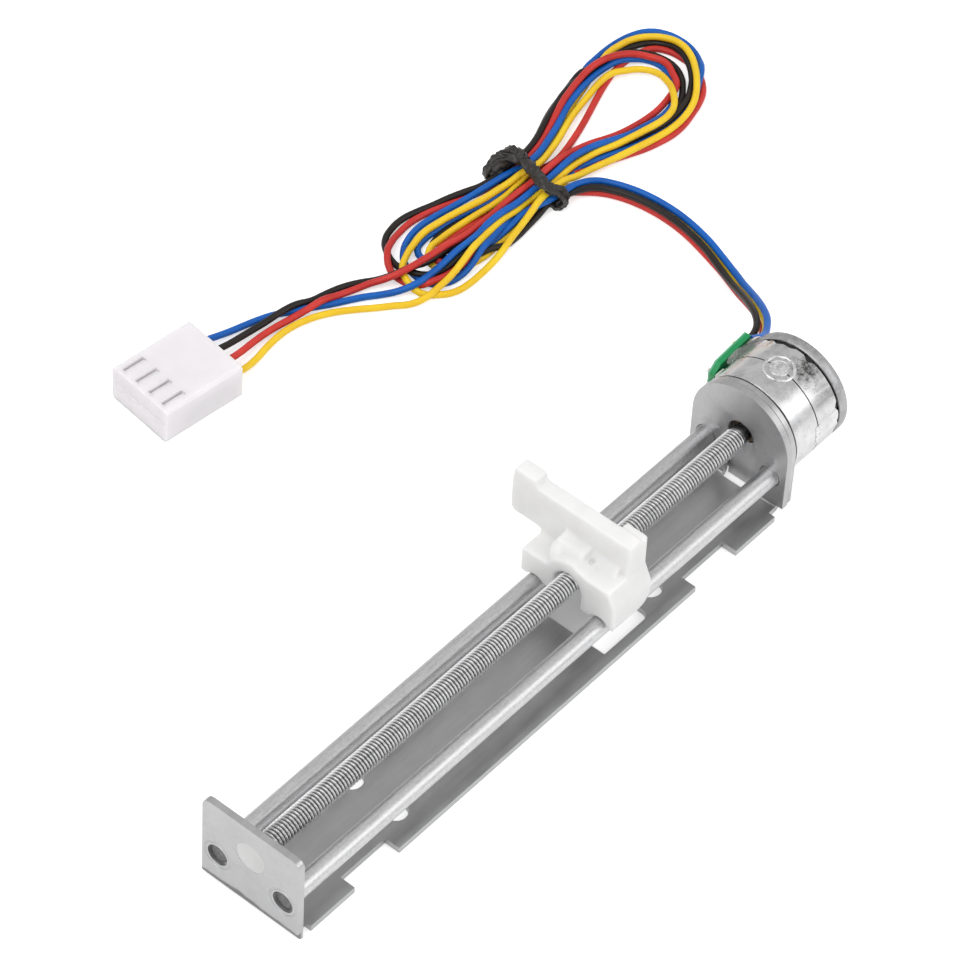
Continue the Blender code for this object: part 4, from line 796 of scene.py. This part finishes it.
for side, name in ((1, "left"), (-1, "right")):
    bpy.ops.mesh.primitive_cylinder_add(
        vertices=72,
        radius=rod_radius,
        depth=rod_rear - rod_front,
        location=((rod_front + rod_rear) / 2, side * rod_offset, rod_height),
        rotation=(0, math.pi / 2, 0),
    )
    bar = settle_place("ground_rod_" + name)
    soften_edges(bar, rod_radius / 8, 3, 35)
    finish_piece(bar, rod_steel, "frame", "polished_steel", "guide_rod_" + name)
    bpy.ops.mesh.primitive_torus_add(
        major_segments=56,
        minor_segments=12,
        major_radius=rod_radius + rod_lip * 0.75,
        minor_radius=rod_lip,
        location=(rear_face, side * rod_offset, rod_height),
        rotation=(0, math.pi / 2, 0),
    )
    lip = settle_place("rod_lip_" + name)
    for vert in lip.data.vertices:
        vert.co.x += 0.00005 * noise.noise(vert.co * 1300)
    lip.data.shade_smooth()
    finish_piece(lip, plated_steel, "frame", "plated_steel")


# End bearing
# White acetal plug pressed into the front ear, flush outside, with a flange inside that the end
# of the screw turns against.
bearing_radius = 0.0021
bearing_flange = 0.0027
bearing_inside = front_face + 0.0011
bearing_end = bearing_inside + 0.0005
bearing_bore = 0.00075
bearing_hole_start = front_face + 0.0004


def draw_line(name, places):
    """A new piece drawn corner by corner through places along and out, and left open."""
    bpy.ops.mesh.primitive_plane_add(size=0.001, location=(0, 0, 0))
    piece = bpy.context.object
    piece.name = name
    bpy.ops.object.mode_set(mode="EDIT")
    bpy.ops.mesh.select_mode(type="VERT")
    bpy.ops.mesh.select_all(action="SELECT")
    bpy.ops.mesh.merge(type="CENTER")
    along, out = places[0]
    bpy.ops.transform.translate(value=(along, 0, out))
    for next_along, next_out in places[1:]:
        step = (next_along - along, 0, next_out - out)
        bpy.ops.mesh.extrude_region_move(TRANSFORM_OT_translate={"value": step})
        along, out = next_along, next_out
    return piece


def turned(name, section, steps):
    """A shape spun about the screw's line from its half section, given as places along and out."""
    piece = draw_line(name, [(along, screw_height + out) for along, out in section])
    bpy.ops.mesh.select_all(action="SELECT")
    bpy.ops.mesh.spin(steps=steps, angle=2 * math.pi, center=(0, 0, screw_height), axis=(1, 0, 0))
    bpy.ops.mesh.select_all(action="SELECT")
    bpy.ops.mesh.remove_doubles(threshold=0.000002)
    bpy.ops.mesh.normals_make_consistent(inside=False)
    bpy.ops.object.mode_set(mode="OBJECT")
    return piece


pivot_bearing = turned(
    "pivot_bearing",
    [
        (front_face - 0.00006, 0),
        (front_face - 0.00005, 0.0011),
        (front_face, bearing_radius + 0.00005),
        (front_face + 0.00006, bearing_radius + 0.00022),
        (front_face + 0.00012, bearing_radius + 0.00012),
        (front_face + 0.00020, bearing_radius),
        (bearing_inside, bearing_radius),
        (bearing_inside, bearing_flange),
        (bearing_end - 0.0001, bearing_flange),
        (bearing_end, bearing_flange - 0.0001),
        (bearing_end, bearing_bore),
        (bearing_hole_start, bearing_bore),
        (bearing_hole_start, 0),
    ],
    64,
)
smooth_below(pivot_bearing, 40)
bearing_plastic, *_ = moulded_plastic(
    "bearing_acetal", (0.66, 0.66, 0.655), (0.60, 0.60, 0.595), 0.35, 0.5, 0.3
)
finish_piece(pivot_bearing, bearing_plastic, "frame", "white_plastic", "end_bearing")


# Lead screw
# Fine right-hand thread rolled along a steel rod, half a millimetre a turn. Past the thread it
# steps down to the neck and to the shaft that carries the rotor.
thread_pitch = 0.0005
thread_crest = 0.0015
thread_root = 0.00119
thread_start = bearing_end + 0.00025
thread_end = 0.0450
thread_section = [
    (0.0, 1.0), (0.045, 0.97), (0.10, 0.75), (0.20, 0.15), (0.25, 0.0), (0.29, 0.0), (0.34, 0.15),
    (0.44, 0.75), (0.48, 0.94), (0.5, 1.0),
]
thread_steps = 28
pivot_tip = front_face + 0.00065
pivot_radius = 0.00055
core_radius = 0.0011
collar_radius = 0.0013
collar_end = 0.04590
shaft_radius = 0.00075
shaft_end = 0.05805
screw_taper = 0.0009

thread_height = thread_crest - thread_root
screw_bar = draw_line("threaded_screw", [
    (thread_start + (share / 0.5 - 2) * thread_pitch, thread_root + thread_height * rise)
    for share, rise in thread_section
])
bpy.ops.object.mode_set(mode="OBJECT")
apply_modifier(
    screw_bar, "SCREW", axis="X", screw_offset=thread_pitch, steps=thread_steps, render_steps=thread_steps,
    iterations=round((thread_end - thread_start) / thread_pitch) + 4, use_normal_calculate=True,
)
bpy.ops.object.mode_set(mode="EDIT")
bpy.ops.mesh.select_all(action="SELECT")
bpy.ops.mesh.remove_doubles(threshold=0.000002)
for plane, outer in ((thread_start, False), (thread_end, True)):
    bpy.ops.mesh.select_all(action="SELECT")
    bpy.ops.mesh.bisect(
        plane_co=(plane, 0, 0), plane_no=(1, 0, 0), use_fill=True, clear_inner=not outer, clear_outer=outer
    )
bpy.ops.mesh.select_all(action="SELECT")
bpy.ops.mesh.normals_make_consistent(inside=False)
bpy.ops.transform.translate(value=(0, 0, screw_height))
bpy.ops.object.mode_set(mode="OBJECT")
for vert in screw_bar.data.vertices:
    radius = math.hypot(vert.co.y, vert.co.z - screw_height)
    inward = min(vert.co.x - thread_start, thread_end - vert.co.x)
    widest = thread_root + thread_height * min(1, max(0, inward / screw_taper))
    if radius > widest:
        vert.co.y *= widest / radius
        vert.co.z = screw_height + (vert.co.z - screw_height) * widest / radius
smooth_below(screw_bar, 80)
shaft = turned(
    "screw_shaft",
    [
        (pivot_tip, 0),
        (pivot_tip, pivot_radius - 0.00025),
        (pivot_tip + 0.00025, pivot_radius),
        (thread_start + 0.0002, pivot_radius),
        (thread_start + 0.0002, core_radius),
        (thread_end - 0.0002, core_radius),
        (thread_end - 0.0002, collar_radius),
        (collar_end, collar_radius),
        (collar_end, shaft_radius),
        (shaft_end - 0.00025, shaft_radius),
        (shaft_end, shaft_radius - 0.00025),
        (shaft_end, 0),
    ],
    48,
)
smooth_below(shaft, 40)
join_pieces(screw_bar, shaft)
screw_steel, screw_shader, screw_place, screw_tone = metal_finish(
    "rolled_thread_steel", (0.86, 0.86, 0.865), (0.66, 0.66, 0.665), 0.22, 0.34, (500, 2600, 2600), 500.0
)


def paint_shade_inward(material, shader, place, finish, low, high, colour):
    """Paints shade into a finish towards the screw's line, at the bottom of a thread or a groove."""
    centring = {"Vector": place, "Location": (0, 0, -screw_height), "Scale": (0, 1, 1)}
    centred = add_node(material, "Mapping", centring).outputs["Vector"]
    radius = add_node(material, "VectorMath", {0: centred}, operation="LENGTH").outputs["Value"]
    rise = span(material, radius, low, high)
    feed(material, shader, {"Base Color": mixed(material, rise, (*colour, 1), finish)})


# Painted shade: the thread is painted near black towards its roots.
paint_shade_inward(
    screw_steel, screw_shader, screw_place, screw_tone, thread_root + 0.00003, thread_crest - 0.00008,
    (0.09, 0.09, 0.09),
)
finish_piece(screw_bar, screw_steel, "rotor", "screw_steel", "lead_screw")


# Carriage
# One moulding in milky white acetal: a half nut over the screw, a saddle over each rod and a flat
# arm that stands up to the left. All its corners run softly into each other.
carriage_grain = 0.00013
nut_lump = (0.0137, 0.0028, 0.0120)
dimple_place = (0.0140, -0.00165, 0.0129)
lump_radius = 0.0014
lump_stretch = (1.5, 1.0, 1.05)
lump_turn = (0, math.radians(-16), math.radians(8))
slope_place = (0.01515, -0.0032, 0.0125)
slope_size = 0.0019
dimple_radius = 0.00045
softening = 0.5
softening_rounds = 22

moulding = whole_copy("carriage", "moulded_carriage", False)
bpy.ops.mesh.primitive_uv_sphere_add(
    segments=32,
    ring_count=16,
    radius=lump_radius,
    location=nut_lump,
    rotation=lump_turn,
    scale=lump_stretch,
)
lump = settle_place("nut_lump")
bpy.ops.mesh.primitive_cube_add(
    size=slope_size, location=slope_place, rotation=(0, math.radians(45), 0), scale=(1, 2.2, 1)
)
slope = settle_place("nut_slope")
join_pieces(moulding, lump, slope)
apply_modifier(moulding, "REMESH", mode="VOXEL", voxel_size=carriage_grain)
bpy.ops.mesh.primitive_ico_sphere_add(
    subdivisions=3, radius=dimple_radius, location=dimple_place, scale=(1.2, 0.8, 1.0)
)
carve(moulding, settle_place("nut_dimple"))
apply_modifier(moulding, "SMOOTH", factor=softening, iterations=softening_rounds)
moulding.data.shade_smooth()

acetal, acetal_shader, *_ = moulded_plastic(
    "milky_acetal", (0.80, 0.80, 0.79), (0.765, 0.765, 0.755), 0.40, 0.54, 0.85
)
acetal_shader.inputs["Subsurface Radius"].default_value = (0.0042, 0.0040, 0.0038)
finish_piece(moulding, acetal, "carriage_body", "white_plastic", "carriage")


# Motor plate
# Second sheet, stamped with the rear ear's round top and welded behind it. It carries the front
# bush, and the can is staked to it.
plate_edge = 0.00012
motor_radius = 0.0075
motor_plate = whole_copy("motor_flange", "motor_plate")
soften_edges(motor_plate, plate_edge, 2, 35)
plate_steel, *_ = metal_finish(
    "motor_plate_steel", (0.54, 0.54, 0.545), (0.42, 0.42, 0.425), 0.30, 0.42, (1400, 1400, 200), 420.0
)
finish_piece(motor_plate, plate_steel, "frame", "can_steel", "motor_flange")


# Stator cups
# Two drawn cups of soft steel, plated, that meet at the seam round the middle of the can. Handling
# and the press tools have left clouded and dark marks, most of them beside the round stake mark.
cup_edge = 0.00011
can_front = 0.04725
shoulder_edge = 0.00030
can_forward = 0.00011
groove_start = 0.05562
groove_end = 0.05580
groove_depth = 0.00030
notch_waves = 5.5
notch_gap = 0.12
notch_reach = 0.0011
seam_place = 0.051625
stake_mark_turn = math.radians(93)
stake_mark_outer = 0.00200
stake_mark_inner = 0.00122
mark_rings = ((stake_mark_outer, 0.00025, 0.60), (stake_mark_inner, 0.00014, 0.62))
tab_turn = math.radians(177)
tab_size = (0.00100, 0.00300, 0.00014)
stain_middle = (0.0542, -0.0028, 0.0165)
stain_reach = 0.0042
can_steel, can_shader, can_place, can_tone = metal_finish(
    "drawn_can_steel", (0.72, 0.72, 0.725), (0.52, 0.52, 0.525), 0.22, 0.36, (700, 700, 700), 200.0
)


def stained(material, place, tone, middle, reach, colour):
    """Dark grainy stains in a finish, dense round one place and scattered elsewhere."""
    away = add_node(material, "VectorMath", {0: place, 1: middle}, operation="DISTANCE").outputs["Value"]
    near = span(material, away, reach, 0.0, 0.0, 0.30)
    blots = clouds(material, place, 980.0, 9.0, 0.8)
    mask = span(material, maths(material, "ADD", near, blots), 0.64, 0.80)
    return mixed(material, mask, tone, (*colour, 1))


can_finish = stained(can_steel, can_place, can_tone, stain_middle, stain_reach, (0.10, 0.096, 0.092))
# Painted shade: the can is painted near black wherever it lies deeper than its round side, as in the groove
# before the cap.
paint_shade_inward(
    can_steel, can_shader, can_place, can_finish, motor_radius - 0.00010, motor_radius - 0.00003,
    (0.05, 0.05, 0.05),
)


def on_shoulder(place):
    """Whether a corner lies on the outer rim of the front cup's closed end."""
    outer = math.hypot(place.y, place.z - screw_height) > motor_radius - 0.0001
    return outer and place.x < can_front + 0.00002


for node, name in (("stator_cup_front", "front_can"), ("stator_cup_rear", "rear_can")):
    cup = whole_copy(node, name)
    if name == "front_can":
        pick_edges(cup, on_shoulder)
        bpy.ops.mesh.bevel(offset=shoulder_edge, segments=5, affect="EDGES")
        bpy.ops.object.mode_set(mode="OBJECT")
        for vert in cup.data.vertices:
            if vert.co.x < can_front + shoulder_edge + 0.00002:
                vert.co.x -= can_forward
    else:
        inside, outside = motor_radius - groove_depth, motor_radius + 0.0003
        groove = turned(
            "groove",
            [(groove_start, inside), (groove_end, inside), (groove_end, outside), (groove_start, outside),
             (groove_start, inside)],
            120,
        )
        for vert in groove.data.vertices:
            around = Vector((0, vert.co.y, vert.co.z - screw_height)).normalized()
            notch = noise.noise(around * notch_waves + Vector((2.3, 0, 0))) - notch_gap
            notch = max(0, notch) * notch_reach
            vert.co.x += notch if vert.co.x > (groove_start + groove_end) / 2 else -notch
        carve(cup, groove)
    soften_edges(cup, cup_edge, 3, 35)
    finish_piece(cup, can_steel, "frame", "can_steel", node)


def wrap_on_can(piece, along, turn):
    """Bends a flat shape, drawn round the origin, onto the can's round side."""
    for vert in piece.data.vertices:
        angle = turn + vert.co.y / motor_radius
        out = motor_radius + vert.co.z
        vert.co.x += along
        vert.co.y = out * math.cos(angle)
        vert.co.z = screw_height + out * math.sin(angle)


rings = []
for radius, thick, rise in mark_rings:
    bpy.ops.mesh.primitive_torus_add(
        major_segments=72, minor_segments=12, major_radius=radius, minor_radius=thick, location=(0, 0, 0)
    )
    bpy.context.object.scale = (1, 1, rise)
    rings.append(settle_place("mark_ring"))
bpy.ops.mesh.primitive_uv_sphere_add(
    segments=56, ring_count=28, radius=stake_mark_inner, location=(0, 0, 0), scale=(1, 1, 0.045)
)
dome = settle_place("mark_dome")
for vert in dome.data.vertices:
    vert.co.z += 0.00003 * noise.noise(vert.co * 2600)
stake_mark = join_pieces(*rings, dome)
stake_mark.name = "stake_mark"
wrap_on_can(stake_mark, seam_place + 0.00005, stake_mark_turn)
stake_mark.data.shade_smooth()
# The stake mark's steel is lighter than the can's: partly freshly pressed steel, partly a painted highlight
# for the light rings of its reflections. The seam tab uses it too.
mark_steel, *_ = metal_finish(
    "pressed_mark_steel", (0.82, 0.82, 0.825), (0.50, 0.50, 0.505), 0.30, 0.44, (2600, 2600, 2600), 1300.0
)
finish_piece(stake_mark, mark_steel, "frame", "can_steel")
bpy.ops.mesh.primitive_cube_add(size=1, location=(0, 0, 0), scale=tab_size)
seam_tab = settle_place("seam_tab")
bpy.ops.object.mode_set(mode="EDIT")
bpy.ops.mesh.select_all(action="SELECT")
bpy.ops.mesh.subdivide(number_cuts=11)
bpy.ops.object.mode_set(mode="OBJECT")
wrap_on_can(seam_tab, seam_place - 0.00005, tab_turn)
soften_edges(seam_tab, 0.00005, 2, 35)
finish_piece(seam_tab, mark_steel, "frame", "can_steel")


# Poles, windings and rotor
# Inside the can: pole rings of soft steel, moulded bobbins with copper wire, and a grey ring
# magnet on a plastic hub. The bushes are sintered bronze, dark with oil.
pole_steel, *_ = metal_finish(
    "pole_ring_steel", (0.50, 0.50, 0.50), (0.34, 0.34, 0.34), 0.30, 0.46, (900, 900, 900), 400.0
)
copper, *_ = metal_finish(
    "enamelled_copper", (0.78, 0.36, 0.16), (0.55, 0.22, 0.09), 0.22, 0.38, (7000, 500, 500), 600.0
)
bronze, *_ = metal_finish(
    "oiled_bronze", (0.16, 0.12, 0.075), (0.07, 0.055, 0.04), 0.34, 0.50, (2500, 2500, 2500), 900.0
)
ferrite, *_ = moulded_plastic("ferrite_magnet", (0.085, 0.085, 0.09), (0.05, 0.05, 0.055), 0.45, 0.65, 0.0)
bobbin_plastic, *_ = moulded_plastic("bobbin_nylon", (0.70, 0.69, 0.66), (0.60, 0.59, 0.56), 0.40, 0.55, 0.1)
hub_plastic, *_ = moulded_plastic("hub_acetal", (0.55, 0.55, 0.54), (0.45, 0.45, 0.44), 0.40, 0.55, 0.1)
for end in ("front", "rear"):
    dress("stator_ring_" + end, pole_steel)
    dress("coil_" + end, copper)
    dress("bobbin_" + end, bobbin_plastic)
    dress("bush_" + end, bronze)
dress("rotor_magnet", ferrite)
dress("rotor_hub", hub_plastic)


# Motor cap
# Deep-drawn back plate with a rolled rim and a boss for the rear bush, held off the rear cup by a
# dark gap. It has a coarser, duller zinc than the can.
cap_start = 0.05604
cap_end = 0.05765
cap_wall = 0.0005
boss_radius = 0.0024
boss_end = 0.05875
cap_edge = 0.00022
bush_room = 0.00195
motor_cap = turned(
    "end_cap",
    [
        (cap_start, motor_radius - cap_wall),
        (cap_start, motor_radius - 0.0001),
        (cap_start + 0.0001, motor_radius),
        (cap_end - cap_edge, motor_radius),
        (cap_end - cap_edge * 0.35, motor_radius - cap_edge * 0.35),
        (cap_end, motor_radius - cap_edge),
        (cap_end, boss_radius + 0.0003),
        (cap_end + 0.0001, boss_radius + 0.0001),
        (cap_end + 0.0003, boss_radius),
        (boss_end - cap_edge, boss_radius),
        (boss_end - cap_edge * 0.35, boss_radius - cap_edge * 0.35),
        (boss_end, boss_radius - cap_edge),
        (boss_end, 0),
        (boss_end - cap_wall, 0),
        (boss_end - cap_wall, bush_room),
        (cap_end - cap_wall, bush_room),
        (cap_end - cap_wall, motor_radius - cap_wall),
        (cap_start, motor_radius - cap_wall),
    ],
    120,
)
smooth_below(motor_cap, 52)
cap_steel, *_ = metal_finish(
    "dull_zinc_cap", (0.50, 0.50, 0.505), (0.32, 0.32, 0.325), 0.42, 0.58, (2600, 2600, 2600), 900.0
)
finish_piece(motor_cap, cap_steel, "frame", "can_steel", "motor_cap")


# Terminal board
# Small green board against the side of the can. The bobbins' pins come through it and are soldered,
# the wires are soldered beside them, and clear glue holds the blue one.
board_face = 0.00875
bare_middle = 0.00860
bare_half = 0.00014
board_edge = 0.00008
solder_radius = 0.00072
solder_height = 0.00042
joint_radius = 0.00078
joint_height = 0.00085
glue_radius = 0.0013
glue_middle = (0.0544, 0.0070, 0.0126)
glue_stretch = (2.5, 1.0, 0.45)
glue_tilt = math.radians(-42)
pin_places = [(0.0501, -0.0013), (0.0501, 0.0013), (0.05315, -0.0013), (0.05315, 0.0013)]
wire_joints = {"yellow": (0.0554, 0.0106), "black": (0.0554, 0.0095), "red": (0.0554, 0.0084)}
wire_board = whole_copy("terminal_board", "wire_board")
soften_edges(wire_board, board_edge, 2, 35)
board_green, board_shader, board_place, board_tone = moulded_plastic(
    "board_mask", (0.0, 0.29, 0.085), (0.0, 0.22, 0.06), 0.22, 0.40, 0.05
)
board_height = add_node(board_green, "SeparateXYZ", {"Vector": board_place}).outputs["Y"]
board_away = maths(board_green, "ABSOLUTE", maths(board_green, "SUBTRACT", board_height, bare_middle))
board_cut = span(board_green, board_away, bare_half, bare_half - 0.00006)
board_mix = mixed(board_green, board_cut, board_tone, (0.13, 0.42, 0.25, 1))
feed(board_green, board_shader, {"Base Color": board_mix})
finish_piece(wire_board, board_green, "frame", "board_green", "terminal_board")
pin_tin, *_ = metal_finish(
    "tinned_pin", (0.70, 0.69, 0.66), (0.50, 0.49, 0.47), 0.2, 0.34, (900, 900, 900), 900.0
)
for row in ("front", "rear"):
    for level in ("upper", "lower"):
        dress("terminal_pin_" + row + "_" + level, pin_tin)


def solder_bead(name, along, height, radius, out):
    """One shiny cone of solder on the board, with a hollow flank."""
    bpy.ops.mesh.primitive_uv_sphere_add(segments=32, ring_count=20, radius=radius, location=(0, 0, 0))
    bead = settle_place(name)
    for vert in bead.data.vertices:
        lift = max(0, vert.co.z / radius)
        narrow = 1 - 0.45 * lift ** 0.7
        bump = 1 + 0.12 * noise.noise(vert.co * 2500 + Vector((along * 5000, 0, height * 5000)))
        across, upward = vert.co.x * narrow * bump, vert.co.y * narrow * bump
        depth = lift * out if vert.co.z > 0 else vert.co.z * 0.2
        vert.co = (along + across, board_face + depth, height + upward)
    bead.data.shade_smooth()
    finish_piece(bead, solder, "frame", "pin_metal")


solder, *_ = metal_finish(
    "solder_tin", (0.78, 0.78, 0.78), (0.60, 0.60, 0.60), 0.12, 0.28, (1500, 1500, 1500), 1200.0
)
for number, (along, height) in enumerate(pin_places):
    solder_bead("solder_pin_%d" % (number + 1), along, screw_height + height, solder_radius, solder_height)
for colour, (along, height) in wire_joints.items():
    solder_bead("solder_" + colour, along, height, joint_radius, joint_height)

glue, glue_shader = start_material("clear_hot_glue")
glue_cloud = clouds(glue, add_node(glue, "TexCoord").outputs["Object"], 900.0, 3.0)
feed(glue, glue_shader, {
    "Base Color": two_tones(glue, glue_cloud, 0.0, (0.80, 0.80, 0.80), 1.0, (0.92, 0.92, 0.91)),
    "Roughness": span(glue, glue_cloud, 0.0, 1.0, 0.10, 0.30),
    "Transmission Weight": 0.88,
    "IOR": 1.45,
})
bpy.ops.mesh.primitive_uv_sphere_add(
    segments=48, ring_count=24, radius=glue_radius, location=glue_middle, scale=glue_stretch,
    rotation=(glue_tilt, 0, 0),
)
glue_bead = settle_place("glue_bead")
for vert in glue_bead.data.vertices:
    vert.co += Vector((0.3, 1, 1)) * 0.00022 * noise.noise(vert.co * 420)
glue_bead.data.shade_smooth()
finish_piece(glue_bead, glue, "frame", "hub_plastic")
